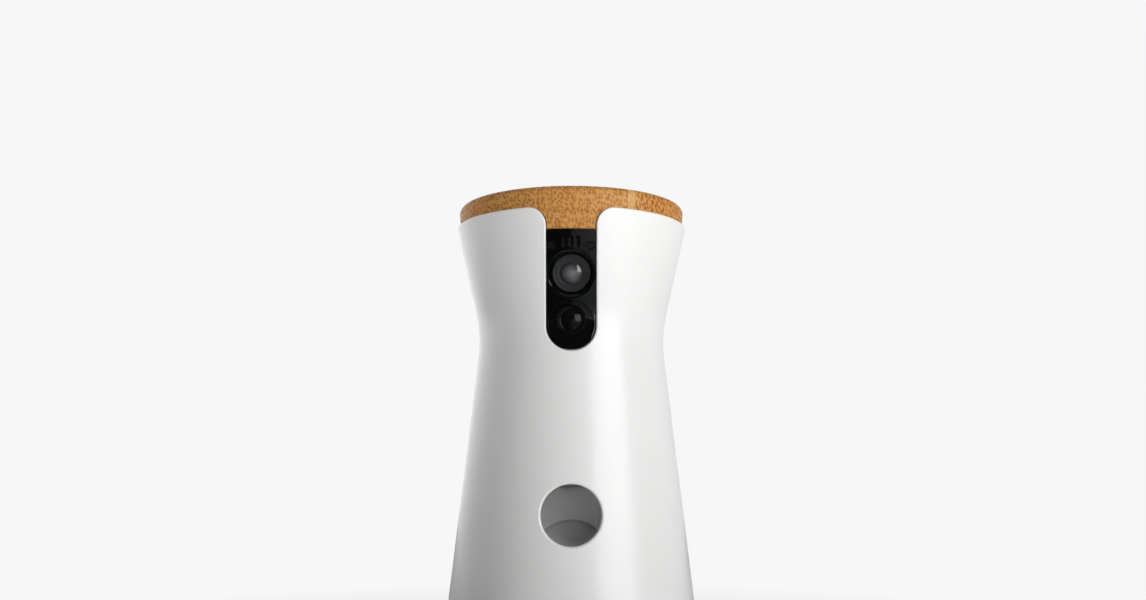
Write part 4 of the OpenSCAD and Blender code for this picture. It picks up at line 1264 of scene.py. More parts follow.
@dataclass
class Launcher:
    """What shows in the treat hole: the chamber's walls and floor, and the kicker."""

    r: float = 19.0
    wall: float = 2.0
    centre_y: float = -24.232
    low_z: float = 49.0
    high_z: float = 94.0
    pivot: Point2 = (-38.032, 103.0)
    floor_r: float = 50.0
    floor_t: float = 2.4
    skin_gap: float = 3.2
    ear_r: float = 6.0
    gap: float = 1.0
    # Where the floor meets the hole's collar: its height, and its depth behind the skin
    collar_z: float = 53.0
    collar_gap: float = 5.1
    # Lengths of the floor's coarse front part and of its finer back part
    floor_run: Point2 = (14.0, 22.0)
    kicker_t: float = 2.8
    kicker_top: float = 80.0
    kicker_shift: float = 1.0
    floor_gap: float = 0.8
    hub_r: float = 3.6
    shaft_r: float = 1.55

    def _channel(self, r: float, z: float, steps: int = 48) -> np.ndarray:
        """A row of points round the open channel at a height, from its left front.

        Args:
            r: Radius of the channel's round back.
            z: The height.
            steps: How many spans the round back has.

        Returns:
            The points.
        """
        front = -math.sqrt(FORM.radius_at(z, self.skin_gap) ** 2 - r**2)
        half = np.linspace(math.pi, 0, steps + 1)
        run = np.linspace(0, 1, 8)[:-1]
        left = np.stack([np.full(len(run), -r), front + (self.centre_y - front) * run], axis=1)
        bend = np.stack([r * np.cos(half), self.centre_y + r * np.sin(half)], axis=1)
        row = np.concatenate([left, bend, left[::-1] * np.array([-1, 1])])
        return extended(row, z)

    def make_chamber(self) -> Piece:
        """Builds the walls, the curved floor and the ears that hold the shaft.

        Returns:
            The new piece.
        """
        levels = np.linspace(self.low_z, self.high_z, 16)
        inner = np.stack([self._channel(self.r, z) for z in levels])
        outer = np.stack([self._channel(self.r + self.wall, z) for z in levels])
        parts = [grid_solid(inner, outer)]
        reach = self.r + self.wall / 2
        coarse, fine = self.floor_run
        ys = np.concatenate([np.linspace(0, 1, 9)[:-1] * coarse, coarse + np.linspace(0, 1, 30) * fine])
        xs = np.linspace(-reach, reach, 25)
        top = np.zeros((len(ys), len(xs), 3))
        for j, x in enumerate(xs):
            front = -math.sqrt(FORM.radius_at(self.collar_z, self.collar_gap) ** 2 - x**2)
            back = self.centre_y + math.sqrt(max(reach**2 - x**2, 0.01))
            y = front + (back - front) * ys / ys[-1]
            rise = np.clip(y - self.pivot[0], 0, None)
            z = self.pivot[1] - np.sqrt(self.floor_r**2 - rise**2)
            top[:, j] = np.stack([np.full(len(y), x), y, z], axis=1)
        parts.append(grid_solid(top, top - np.array([0, 0, self.floor_t])))
        (py, pz), r, foot = self.pivot, self.ear_r, self.high_z - 2
        ear = rounded([(py - r, foot, 0), (py + r, foot, 0), (py + r, pz + r, r - 0.02),
                       (py - r, pz + r, r - 0.02)], 12)
        points, faces = prism(np.array(ear), -self.wall / 2, self.wall / 2)
        for side in (-1, 1):
            parts.append((placed(points, axis_frame(side * reach, 0, 0, Facing.RIGHT)), faces))
        return joined("chamber_walls", parts)

    def make_kicker(self) -> Piece:
        """Builds the kicker: its round plate, side arms and hub.

        Returns:
            The new piece.
        """
        out_r, in_r = self.r - self.gap, self.r - self.gap - self.kicker_t
        (py, pz), plate_y = self.pivot, self.centre_y + self.kicker_shift
        half = np.linspace(math.pi, 0, 61)

        def wall_at(r: float) -> np.ndarray:
            """A grid over the plate's inner or outer face.

            Args:
                r: Radius of the face.

            Returns:
                Rows x columns x 3 points.
            """
            x, y = r * np.cos(half), plate_y + r * np.sin(half)
            reach = np.clip(y - py, 0, None)
            low = pz - np.sqrt((self.floor_r - self.floor_gap) ** 2 - reach**2)
            share = np.linspace(0, 1, 14)[:, None]
            z = low + (self.kicker_top - low) * share
            return np.stack([np.broadcast_to(x, z.shape), np.broadcast_to(y, z.shape), z], axis=2)

        parts = [grid_solid(wall_at(in_r), wall_at(out_r))]
        # From the hub down the front edge, under the plate and back up behind it
        arm = np.array([(py - 2.8, pz - 2), (plate_y - 3.8, 70.0), (plate_y - 0.3, 57.6),
                        (plate_y + 7.5, 60.8), (plate_y + 7.5, self.kicker_top), (py + 1.6, pz + 3)])
        points, faces = prism(arm, -self.kicker_t / 2, self.kicker_t / 2)
        for side in (-1, 1):
            local = placed(points, axis_frame(side * (in_r + self.kicker_t / 2), 0, 0, Facing.RIGHT))
            over = np.maximum(local[:, 1] - self.centre_y, 0)
            limit = np.sqrt(np.maximum(out_r**2 - over**2, 1.0))
            local[:, 0] = np.clip(local[:, 0], -limit, limit)
            parts.append((local, faces))
        reach = self.r - self.gap / 2
        points, faces = lathe(rounded([(self.shaft_r, -reach, 0), (self.hub_r, -reach, 0.4),
                                       (self.hub_r, reach, 0.4), (self.shaft_r, reach, 0)], 3), 48)
        parts.append((placed(points, axis_frame(0, py, pz, Facing.RIGHT)), faces))
        return joined("kicker_plate", parts)


@dataclass
class MeteringWheel:
    """The wheel at the bottom of the treat hopper."""

    low_z: float = 119.0
    height: float = 17.0
    hub_r: float = 8.0
    reach: float = 37.0
    vane_t: float = 2.4
    edge_r: float = 0.5
    sunk: float = 0.8
    short: float = 0.3
    vanes: int = 6
    start_deg: float = 15.0
    bore_r: float = 2.02
    bore_top: float = 132.0

    def make_hub(self) -> Piece:
        """Builds the hub with its blind bore and domed top.

        Returns:
            The new piece.
        """
        top = self.low_z + self.height
        outline = rounded([(0, top, 0), (0, self.bore_top, 0), (self.bore_r, self.bore_top, 0),
                           (self.bore_r, self.low_z, 0.3), (self.hub_r, self.low_z, 0.5),
                           (self.hub_r, top, 1.0)], 5)
        return turned("wheel_hub", outline, 72)

    def make_vanes(self) -> Piece:
        """Builds the vanes, each with rounded edges.

        Returns:
            The new piece.
        """
        half, top = self.vane_t / 2, self.low_z + self.height
        near, far = self.hub_r - self.sunk, self.reach - self.short
        outline = np.array([(near, -half), (far, -half), (far, half), (near, half)])
        vane = new_piece("wheel_vanes", *prism(outline, self.low_z, top))
        bevelled(vane, self.edge_r)
        return AroundAxis(self.vanes, self.start_deg, "inner_grey").apply(vane)


@dataclass
class Base:
    """The foot of the device: base plate, rubber foot and light ring."""

    plate_z: float = 1.2
    ring_z: float = 6.2
    shell_z: float = 9.2
    floor_z: float = 3.7
    groove: Point2 = (52.0, 60.0)
    groove_h: float = 1.0
    foot: Point2 = (52.2, 59.8)
    pocket_r: float = 50.0
    ring_in_r: float = 52.0
    screw_x: float = 23.609
    screw_y: float = 20.0
    head_r: float = 3.2
    head_h: float = 1.2
    post_r: float = 3.0
    post_x: float = 10.0
    post_y: float = 47.5
    post_top: float = 12.0
    plate_gap: float = 0.3
    ring_gap: float = 0.5
    under_spacing: float = 6.0
    floor_spacing: float = 7.0

    def make_plate(self) -> Piece:
        """Builds the base plate with its groove, pocket and screw holes.

        Returns:
            The new piece.
        """
        z0, z1 = self.plate_z, self.ring_z
        low, high = (FORM.radius_at(z, self.plate_gap) for z in (z0, z1))
        deep = z0 + self.groove_h
        a, b = self.groove
        side = rounded([(b, z0, 0), (low, z0, 1.0), (high, z1, 0.3), (self.pocket_r, z1, 0.4),
                        (self.pocket_r, self.floor_z, 0)], 5)
        under = [(a, z0), (a, deep), (b, deep)]
        steps = 240
        points, faces = lathe(under + side, steps)
        # The first and last ring are closed by flat faces instead of by each other
        closing = (len(under) + len(side) - 1) * steps
        faces = [f for f in faces if not (min(f) < steps and max(f) >= closing)]
        holes = [np.column_stack(circle_outline(sx * self.screw_x, sy * self.screw_y, self.head_r, 40)(0))
                 for sx in (-1, 1) for sy in (-1, 1)]
        parts = [(points, faces)]
        flat, triangles = fill([points[:steps, :2]] + holes, self.under_spacing)
        parts.append((extended(flat, z0), triangles[:, ::-1].tolist()))
        flat, triangles = fill([points[closing:closing + steps, :2]], self.floor_spacing)
        parts.append((extended(flat, self.floor_z), triangles.tolist()))
        for hole in holes:
            n = len(hole)
            ring = np.concatenate([extended(hole, z0), extended(hole, z0 + self.head_h + 0.3)])
            walls = [quad[::-1] for quad in band(0, n, n)]
            parts.append((ring, walls + [list(range(n, 2 * n))[::-1]]))
        post = rounded([(0, self.floor_z - 0.5, 0), (self.post_r, self.floor_z - 0.5, 0),
                        (self.post_r, self.post_top, 0.4), (0, self.post_top, 0)], 3)
        for side in (-1, 1):
            points, faces = lathe(post, 32)
            parts.append((points + np.array([side * self.post_x, self.post_y, 0]), faces))
        piece = joined("base_disc", parts)
        weld(piece)
        return piece

    def make_foot(self) -> Piece:
        """Builds the rubber foot.

        Returns:
            The new piece.
        """
        a, b = self.foot
        top = self.plate_z + self.groove_h
        outline = rounded([(a, 0, 0.35), (b, 0, 0.35), (b, top, 0), (a, top, 0)], 5)
        return turned("rubber_foot", outline, 200)

    def make_ring(self) -> Piece:
        """Builds the light ring.

        Returns:
            The new piece.
        """
        z0, z1 = self.ring_z, self.shell_z
        low, high = (FORM.radius_at(z, self.ring_gap) for z in (z0, z1))
        outline = rounded([(self.ring_in_r, z0, 0), (low, z0, 0.25), (high, z1, 0.25),
                           (self.ring_in_r, z1, 0)], 3)
        return turned("opal_ring", outline, 240)


@dataclass
class BackPanel:
    """What shows low on the back: the power socket and the reset button."""

    socket_z: float = 15.0
    socket_w: float = 9.0
    socket_h: float = 3.2
    front_y: float = 60.4
    depth: float = 9.6
    skin: float = 0.35
    tongue_w: float = 6.6
    tongue_h: float = 0.7
    tongue_start: float = 0.9
    tongue_short: float = 2.2
    button_x: float = -15.0
    button_z: float = 15.4
    button_r: float = 2.5
    button_back: float = 56.03
    button_front: float = 61.782

    def make_socket(self) -> Piece:
        """Builds the metal shell of the socket and the tongue inside it.

        Returns:
            The new piece.
        """
        rings = []
        s, face, end = self.skin, self.front_y, self.front_y - self.depth
        outline = stadium_outline(0, 0, self.socket_w, self.socket_h, 8)
        for gap, y in ((0.0, end), (0.0, face - 0.1), (-0.1, face), (-s + 0.08, face), (-s, face - 0.1),
                       (-s, end + 1)):
            x, z = outline(gap)
            rings.append(np.column_stack([x, np.full(len(x), y), z + self.socket_z]))
        n = len(rings[0])
        points = np.concatenate(rings)
        last = (len(rings) - 1) * n
        faces = [quad[::-1] for first in range(0, last, n) for quad in band(first, first + n, n)]
        faces += [list(range(n)), list(range(last, last + n))[::-1]]
        half_w, half_h = self.tongue_w / 2, self.tongue_h / 2
        tongue = np.array([(-half_w, -half_h), (half_w, -half_h), (half_w, half_h), (-half_w, half_h)])
        body = prism(tongue, 0, self.depth - self.tongue_short)
        at = axis_frame(0, end + self.tongue_start, self.socket_z, Facing.BACK)
        return joined("socket_shell", [(points, faces), (placed(body[0], at), body[1])])

    def make_button(self) -> Piece:
        """Builds the reset button with its collar.

        Returns:
            The new piece.
        """
        length, r = self.button_front - self.button_back, self.button_r
        outline = rounded([(0, 0, 0), (r + 0.8, 0, 0.1), (r + 0.8, 1, 0.15), (r, 1, 0.1), (r, length, 0.45),
                           (r - 0.9, length - 0.25, 0.3), (0, length - 0.35, 0)], 4)
        return turned("button_cap", outline, 48,
                      axis_frame(self.button_x, self.button_back, self.button_z, Facing.BACK))


# ---------------------------------------------------------------- finishes


def linear(colour: str) -> Colour:
    """Turns an sRGB hex colour into the linear values that Blender works with.

    Args:
        colour: The colour, as #RRGGBB.

    Returns:
        Red, green, blue and an alpha of 1.
    """
    parts = [int(colour[k:k + 2], 16) / 255 for k in (1, 3, 5)]
    r, g, b = (c / 12.92 if c <= 0.04045 else ((c + 0.055) / 1.055) ** 2.4 for c in parts)
    return r, g, b, 1.0


def shade(colour: str, share: float, lift: float = 0.0) -> Colour:
    """A hex colour's linear values, darkened to a share and lifted."""
    r, g, b, alpha = linear(colour)
    return r * share + lift, g * share + lift, b * share + lift, alpha


class Easing(Enum):
    """How a value runs between the ends of its range."""

    EVEN = "LINEAR"
    SMOOTH = "SMOOTHSTEP"


class Nodes:
    """The nodes of a world or a material, added one at a time."""

    def __init__(self, owner: bpy.types.World | bpy.types.Material) -> None:
        """Empties the owner's tree.

        Args:
            owner: The world or the material.
        """
        owner.use_nodes = True
        self.tree = owner.node_tree
        self.tree.nodes.clear()

    def add(self, kind: str, inputs: Optional[dict] = None, **settings: object) -> bpy.types.Node:
        """Adds a node, as add_node does."""
        return add_node(self.tree, kind, inputs, **settings)

    def span(self, value: Socket, low: float, high: float, to_low: float = 0.0, to_high: float = 1.0,
             easing: Easing = Easing.EVEN) -> Socket:
        """Maps a range of values to another, held at its ends.

        Args:
            value: The value.
            low: Where its range begins.
            high: Where its range ends.
            to_low: What becomes of the low value.
            to_high: What becomes of the high value.
            easing: How it runs between them.

        Returns:
            The mapped value.
        """
        return self.add("ShaderNodeMapRange", {"Value": value, "From Min": low, "From Max": high,
                                               "To Min": to_low, "To Max": to_high},
                        interpolation_type=easing.value).outputs[0]

    def blend(self, share: Value, a: Value, b: Value) -> Socket:
        """Blends two numbers."""
        return self.add("ShaderNodeMix", {0: share, 2: a, 3: b}).outputs[0]

    def mix(self, share: Value, a: Value, b: Value) -> Socket:
        """Blends two colours."""
        return self.add("ShaderNodeMix", {0: share, 6: a, 7: b}, data_type="RGBA").outputs[2]

    def maths(self, operation: str, a: Value, b: Value = 0.0) -> Socket:
        """Joins two numbers."""
        return self.add("ShaderNodeMath", {0: a, 1: b}, operation=operation).outputs[0]


class Tree(Nodes):
    """A new material whose nodes are added one at a time."""

    def __init__(self, name: str) -> None:
        """Starts an empty material.

        Args:
            name: The material's name.
        """
        self.material = bpy.data.materials.new(name)
        super().__init__(self.material)
        self.place = self.add("ShaderNodeTexCoord").outputs["Object"]

    def noise(self, size_mm: float, detail: float = 3.0, rough: float = 0.5,
              stretch: Point3 = (1, 1, 1)) -> Socket:
        """Cloudy noise.

        Args:
            size_mm: About how far its patches reach.
            detail: How many finer layers it has.
            rough: How strong the finer layers are.
            stretch: A share for each axis: patches reach further where it is less than 1.

        Returns:
            The noise, about 0.5.
        """
        place = self.add("ShaderNodeMapping", {"Vector": self.place, "Scale": stretch}).outputs[0]
        return self.add("ShaderNodeTexNoise", {"Vector": place, "Scale": 1 / (size_mm * MM),
                                               "Detail": detail, "Roughness": rough}).outputs["Fac"]

    def cells(self, size_mm: float, **settings: object) -> bpy.types.Node:
        """Points scattered about size_mm apart."""
        return self.add("ShaderNodeTexVoronoi", {"Vector": self.place, "Scale": 1 / (size_mm * MM)},
                        **settings)

    def bump(self, height: Socket, depth_mm: float, under: Optional[Socket] = None) -> Socket:
        """Turns a height from 0 to 1 into a surface normal.

        Args:
            height: The height.
            depth_mm: How far a height of 1 stands out.
            under: The normal that it is added to.

        Returns:
            The normal.
        """
        inputs = {"Height": height, "Distance": depth_mm * MM, "Strength": 1.0}
        if under is not None:
            inputs["Normal"] = under
        return self.add("ShaderNodeBump", inputs).outputs[0]

    def close(self, inputs: dict) -> bpy.types.Material:
        """Adds the surface shader and returns the finished material.

        Args:
            inputs: A value or a socket for each of the shader's inputs.

        Returns:
            The material.
        """
        shader = self.add("ShaderNodeBsdfPrincipled", inputs)
        self.add("ShaderNodeOutputMaterial", {"Surface": shader.outputs[0]})
        return self.material


@dataclass(frozen=True)
class Finish:
    """What every finish has: a name for the real material and its colour."""

    name: str
    colour: str

    def make(self) -> bpy.types.Material:
        """Builds the material."""
        raise NotImplementedError


@dataclass(frozen=True)
class Plastic(Finish):
    """Moulded plastic or rubber with a fine grain and slightly uneven gloss."""

    rough: float = 0.35
    grain_mm: float = 0.6
    grain_depth: float = 0.004
    uneven: float = 0.05
    tint: float = 0.04
    coat: float = 0.0
    soft: float = 0.0

    def make(self) -> bpy.types.Material:
        """Builds the material.

        Returns:
            The material.
        """
        t = Tree(self.name)
        clouds = t.noise(18, 3)
        dull = shade(self.colour, 1 - self.tint)
        grain = t.noise(self.grain_mm, 2, 0.6)
        waves = t.noise(9, 1, 0.4)
        normal = t.bump(grain, self.grain_depth, t.bump(waves, 0.012))
        inputs = {"Base Color": t.mix(t.span(clouds, 0.35, 0.65), linear(self.colour), dull),
                  "Roughness": t.span(clouds, 0.3, 0.7, self.rough - self.uneven, self.rough + self.uneven),
                  "Normal": normal, "Coat Weight": self.coat, "Coat Roughness": 0.12}
        if self.soft:
            inputs.update({"Subsurface Weight": self.soft, "Subsurface Radius": (1.0, 1.0, 1.0),
                           "Subsurface Scale": 0.8 * MM})
        return t.close(inputs)


@dataclass(frozen=True)
class Acrylic(Finish):
    """Polished tinted acrylic or coated glass: deep, glossy, with faint dust and hairlines."""

    rough: float = 0.04
    dust: float = 0.02
    ior: float = 1.49
    shine: float = 0.3

    def make(self) -> bpy.types.Material:
        """Builds the material.

        Returns:
            The material.
        """
        t = Tree(self.name)
        specks = t.span(t.cells(0.9).outputs["Distance"], 0.10, 0.04)
        lines = t.span(t.noise(0.5, 3, 0.6, (1, 1, 0.04)), 0.66, 0.72)
        dirt = t.maths("MAXIMUM", t.maths("MULTIPLY", specks, 0.5), t.maths("MULTIPLY", lines, 0.3))
        pale = shade(self.colour, 1, self.dust)
        smear = t.span(t.noise(14, 2), 0.4, 0.7, self.rough, self.rough + 0.05)
        return t.close({"Base Color": t.mix(dirt, linear(self.colour), pale),
                        "Roughness": t.maths("ADD", smear, t.maths("MULTIPLY", dirt, 0.1)),
                        "Normal": t.bump(t.noise(12, 1, 0.3), 0.004), "IOR": self.ior,
                        "Specular IOR Level": self.shine})


@dataclass(frozen=True)
class LensGlass(Finish):
    """Coated glass over a dark stop, with faint rings: a painted highlight makes it palest in the middle."""

    edge: str = "#2C2C2F"
    highlight_middle_z: float = 182.5
    r: float = 5.0

    def make(self) -> bpy.types.Material:
        """Builds the material.

        Returns:
            The material.
        """
        t = Tree(self.name)
        flat = t.add("ShaderNodeMapping", {"Vector": t.place, "Location": (0, 0, -self.highlight_middle_z * MM),
                                           "Scale": (1, 0, 1)}).outputs[0]
        reach = t.add("ShaderNodeVectorMath", {0: flat}, operation="LENGTH").outputs["Value"]
        # Painted highlight: the colour runs from the pale middle colour at the lens axis to the dark edge
        # colour at its rim
        share = t.span(reach, 0.15 * self.r * MM, self.r * MM)
        rings = t.span(t.maths("SINE", t.maths("MULTIPLY", reach, 9 / MM)), -1, 1, 0.0, 0.12)
        smear = t.span(t.noise(3, 2), 0.4, 0.7, 0.05, 0.12)
        colour = t.mix(t.maths("ADD", share, rings), linear(self.colour), linear(self.edge))
        return t.close({"Base Color": colour,
                        "Roughness": smear, "IOR": 1.6, "Coat Weight": 0.4, "Coat Roughness": 0.02,
                        "Normal": t.bump(t.noise(4, 1), 0.002)})


@dataclass(frozen=True)
class Metal(Finish):
    """Bright metal with fine lines from turning or rolling and a little wear."""

    rough: float = 0.28
    line_mm: float = 0.25
    stretch: Point3 = (1, 1, 0.05)

    def make(self) -> bpy.types.Material:
        """Builds the material.

        Returns:
            The material.
        """
        t = Tree(self.name)
        lines = t.noise(self.line_mm, 3, 0.6, self.stretch)
        clouds = t.noise(5, 3)
        worn = t.mix(t.span(clouds, 0.45, 0.75), linear(self.colour), shade(self.colour, 0.82))
        rough = t.maths("ADD", t.span(lines, 0.3, 0.7, self.rough - 0.06, self.rough + 0.06),
                        t.span(clouds, 0.4, 0.7, 0.0, 0.06))
        return t.close({"Base Color": worn, "Metallic": 1.0, "Roughness": rough,
                        "Normal": t.bump(lines, 0.004)})


@dataclass(frozen=True)
class CircuitBoard(Finish):
    """Green solder mask over copper tracks, with small pads."""

    copper: str = "#2E7A4A"
    pad: str = "#C9C2A6"

    def make(self) -> bpy.types.Material:
        """Builds the material.

        Returns:
            The material.
        """
        t = Tree(self.name)
        block = t.cells(3.2, feature="DISTANCE_TO_EDGE", distance="EUCLIDEAN").outputs[0]
        tracks = t.span(block, 0.03, 0.05, 1.0, 0.0)
        pads = t.span(t.cells(2.6).outputs["Distance"], 0.16, 0.13)
        green = t.mix(tracks, linear(self.colour), linear(self.copper))
        return t.close({"Base Color": t.mix(pads, green, linear(self.pad)), "Metallic": pads,
                        "Roughness": t.span(pads, 0, 1, 0.38, 0.25),
                        "Normal": t.bump(t.maths("MAXIMUM", tracks, pads), 0.02)})


@dataclass(frozen=True)
class Bamboo(Finish):
    """Laminated bamboo: upright strips, each with its own tone and density of fibre ends."""

    dark: str = "#8A4E1E"
    pale: str = "#D6A86C"
    half_w: float = 60.0
    slant: float = 0.3
    upright: float = 0.55
    # Where each strip starts across the lid in mm, its tone from 0 to 1, and its fibres' strength
    strips: tuple[Point3, ...] = (
        (-60.0, 0.4, 0.6), (-41.5, 0.42, 0.8), (-16.0, 0.36, 0.75), (8.0, 0.46, 0.75), (27.5, 0.95, 0.35),
        (31.5, 0.35, 1.0), (46.0, 0.3, 0.8))

    def make(self) -> bpy.types.Material:
        """Builds the material.

        Returns:
            The material.
        """
        t = Tree(self.name)
        across = t.add("ShaderNodeSeparateXYZ", {0: t.place}).outputs[0]
        wander = t.maths("MULTIPLY", t.maths("SUBTRACT", t.noise(8, 1), 0.5), 0.8 * MM)
        share = t.span(t.maths("ADD", across, wander), -self.half_w * MM, self.half_w * MM)
        _, tones, strengths = zip(*self.strips)
        tone, strength = self._steps(t, share, tones), self._steps(t, share, strengths)
        ends = t.maths("ADD", self._ends(t, 1.3), t.span(t.noise(2.4, 2), 0.35, 0.65, -0.09, 0.09))
        fine = t.maths("ADD", self._ends(t, 0.8), t.span(t.noise(1.6, 1), 0.3, 0.7, -0.08, 0.08))
        faint = t.maths("MULTIPLY", t.span(fine, 0.36, 0.2), 0.35)
        dots = t.maths("MULTIPLY", t.maths("MAXIMUM", t.span(ends, 0.44, 0.24), faint), strength)
        grain = t.noise(4.0, 4, 0.6, (1, 0.08, 0.3))
        ground = t.mix(t.maths("ADD", tone, t.span(grain, 0.3, 0.7, -0.22, 0.22)), linear(self.colour),
                       linear(self.pale))
        seam = self._seams(t, share)
        colour = t.mix(t.maths("MULTIPLY", dots, 0.85), ground, linear(self.dark))
        colour = t.mix(t.maths("MULTIPLY", seam, 0.5), colour, linear(self.dark))
        height = t.maths("SUBTRACT", 1.0, t.maths("MAXIMUM", dots, seam))
        return t.close({"Base Color": colour, "Normal": t.bump(height, 0.02, t.bump(grain, 0.03)),
                        "Roughness": t.span(t.maths("ADD", dots, t.noise(10, 2)), 0.3, 1.3, 0.42, 0.58),
                        "Specular IOR Level": 0.18})

    def _starts(self) -> list[float]:
        """Where each strip starts across the lid, from 0 to 1."""
        return [(start + self.half_w) / (2 * self.half_w) for start, _, _ in self.strips]

    def _ends(self, t: Tree, pitch: float) -> Socket:
        """Distance to the nearest of the fibre bundles, which run from front to back and stand in columns.

        Args:
            t: The material's nodes.
            pitch: About how far apart the bundles are, in mm.

        Returns:
            The distance.
        """
        x, _, z = t.add("ShaderNodeSeparateXYZ", {0: t.place}).outputs
        across = t.maths("ADD", t.maths("MULTIPLY", z, self.slant), x)
        flat = t.add("ShaderNodeCombineXYZ", {0: across, 1: t.maths("MULTIPLY", z, self.upright)})
        return t.add("ShaderNodeTexVoronoi", {"Vector": flat.outputs[0], "Scale": 1 / (pitch * MM),
                                              "Randomness": 0.8}, voronoi_dimensions="2D").outputs["Distance"]

    def _steps(self, t: Tree, share: Socket, values: Sequence[float]) -> Socket:
        """Picks the value of the strip that a place lies on.

        Args:
            t: The material's nodes.
            share: Place across the lid, from 0 to 1.
            values: The value of each strip.

        Returns:
            The value.
        """
        ramp = t.add("ShaderNodeValToRGB", {"Fac": share})
        ramp.color_ramp.interpolation = "CONSTANT"
        for k, (place, value) in enumerate(zip(self._starts(), values)):
            element = ramp.color_ramp.elements[0] if k == 0 else ramp.color_ramp.elements.new(place)
            element.position = place
            element.color = (value,) * 3 + (1.0,)
        ramp.color_ramp.elements.remove(ramp.color_ramp.elements[-1])
        return ramp.outputs[0]

    def _seams(self, t: Tree, share: Socket) -> Socket:
        """Thin dark lines where the strips are glued.

        Args:
            t: The material's nodes.
            share: Place across the lid, from 0 to 1.

        Returns:
            1 on a line and 0 beside it.
        """
        line: Value = 0.0
        for place in self._starts()[1:]:
            gap = t.maths("ABSOLUTE", t.maths("SUBTRACT", share, place))
            line = t.maths("MAXIMUM", line, t.span(gap, 0.0008, 0.0022, 1.0, 0.0))
        return line


@dataclass(frozen=True)
class Diffuser(Finish):
    """Milky plastic that spreads a status light."""

    def make(self) -> bpy.types.Material:
        """Builds the material.

        Returns:
            The material.
        """
        t = Tree(self.name)
        clouds = t.noise(12, 3)
        return t.close({"Base Color": t.mix(clouds, linear(self.colour), shade(self.colour, 0.94)),
                        "Roughness": t.span(clouds, 0.3, 0.7, 0.42, 0.52), "Subsurface Weight": 0.5,
                        "Subsurface Radius": (1.0, 1.0, 1.0), "Subsurface Scale": 2 * MM,
                        "Normal": t.bump(t.noise(0.5, 2), 0.005)})


FINISHES: dict[str, Finish] = {
    # Moulded ABS, spark-eroded to a soft gloss
    "housing": Plastic("Satin-gloss white ABS", "#F0F0EF", 0.32, 0.4, 0.0012, 0.012, 0.004, 0.2, 0.03),
    # Side-pressed bamboo under clear lacquer
    "lid_wood": Bamboo("Lacquered bamboo", "#CA883C"),
    # Cast silicone, slightly see-through
    "seal": Plastic("Translucent silicone", "#D2D0CA", 0.5, 0.8, 0.006, 0.06, 0.05, 0.0, 0.4),
    # Injection-moulded and polished acrylic
    "panel": Acrylic("Polished black acrylic", "#0C0C0D", 0.03, 0.012),
    # Turned aluminium, anodised semi-matt black
    "lens_barrel": Plastic("Black anodised aluminium", "#242426", 0.4, 0.3, 0.004, 0.06, 0.1),
    # Coated glass over a dark stop; its colour is the pale middle of a painted highlight
    "lens_glass": LensGlass("Coated lens glass with painted highlight", "#6A6A6D"),
    # Smoked acrylic that lets infrared through
    "lamp_window": Acrylic("Smoked acrylic", "#0E0E10", 0.1, 0.01, 1.45, 0.2),
    # Dark tinted acrylic
    "sensor": Acrylic("Tinted acrylic", "#17171A", 0.06, 0.02),
    # Moulded black ABS
    "inner_black": Plastic("Moulded black ABS", "#1B1B1C", 0.5, 0.5, 0.012, 0.07, 0.12),
    # Moulded acetal
    "inner_grey": Plastic("Moulded pale acetal", "#EAEAEA", 0.5, 0.5, 0.008, 0.06, 0.04),
    # Food-safe polypropylene
    "hopper_white": Plastic("Natural polypropylene", "#E4E3DE", 0.45, 0.6, 0.008, 0.06, 0.05, 0.0, 0.15),
    # Uncoloured acetal
    "gear": Plastic("Natural acetal", "#E2DCC8", 0.4, 0.4, 0.005, 0.06, 0.06, 0.0, 0.1),
    # Bright drawn steel
    "steel": Metal("Bright steel", "#C6C6C8", 0.24),
    # Zinc-plated deep-drawn steel
    "motor_can": Metal("Plated motor can", "#B4B4B2", 0.34, 0.4, (1, 0.06, 1)),
    # Fibreglass laminate
    "circuit_board": CircuitBoard("Solder-masked fibreglass", "#1F5B36"),
    # Tinned steel sheet
    "shield_can": Metal("Tinned steel sheet", "#C4C6C8", 0.36, 0.6, (0.1, 1, 1)),
    # Moulded nylon
    "connector": Plastic("Ivory nylon", "#E6E0CC", 0.5, 0.4, 0.008, 0.05, 0.08),
    # Polyimide film over copper
    "flex": Plastic("Polyimide film", "#B0702A", 0.3, 1.2, 0.01, 0.06, 0.2),
    # Moulded rubber
    "rubber_foot": Plastic("Moulded rubber", "#5A5A5A", 0.7, 0.35, 0.02, 0.08, 0.15),
    # Opal polycarbonate
    "light_guide": Diffuser("Opal polycarbonate", "#F2F2F0"),
}

MATERIALS: dict[str, bpy.types.Material] = {}


def finish_of(slot: str) -> bpy.types.Material:
    """The material of a slot, built when it is first asked for.

    Args:
        slot: The slot's name in the record.

    Returns:
        The material.
    """
    if slot not in MATERIALS:
        MATERIALS[slot] = FINISHES[slot].make()
    return MATERIALS[slot]


def paint(piece: Piece, slot: str) -> None:
    """Gives a piece the finish of a slot."""
    piece.data.materials.clear()
    piece.data.materials.append(finish_of(slot))


def put(piece: Piece, body: str, slot: str, *nodes: str) -> Piece:
    """Finishes a piece and ties it to the frame.

    Args:
        piece: The new piece.
        body: The body that it moves with.
        slot: The slot of the record that gives its finish.
        nodes: The CAD nodes that it stands for.

    Returns:
        The piece.
    """
    paint(piece, slot)
    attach(piece, body)
    if nodes:
        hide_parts(*nodes)
    LOG.info("%-20s %6d faces, rides on %s", piece.name, len(piece.data.polygons), body)
    return piece


# ---------------------------------------------------------------- the studio


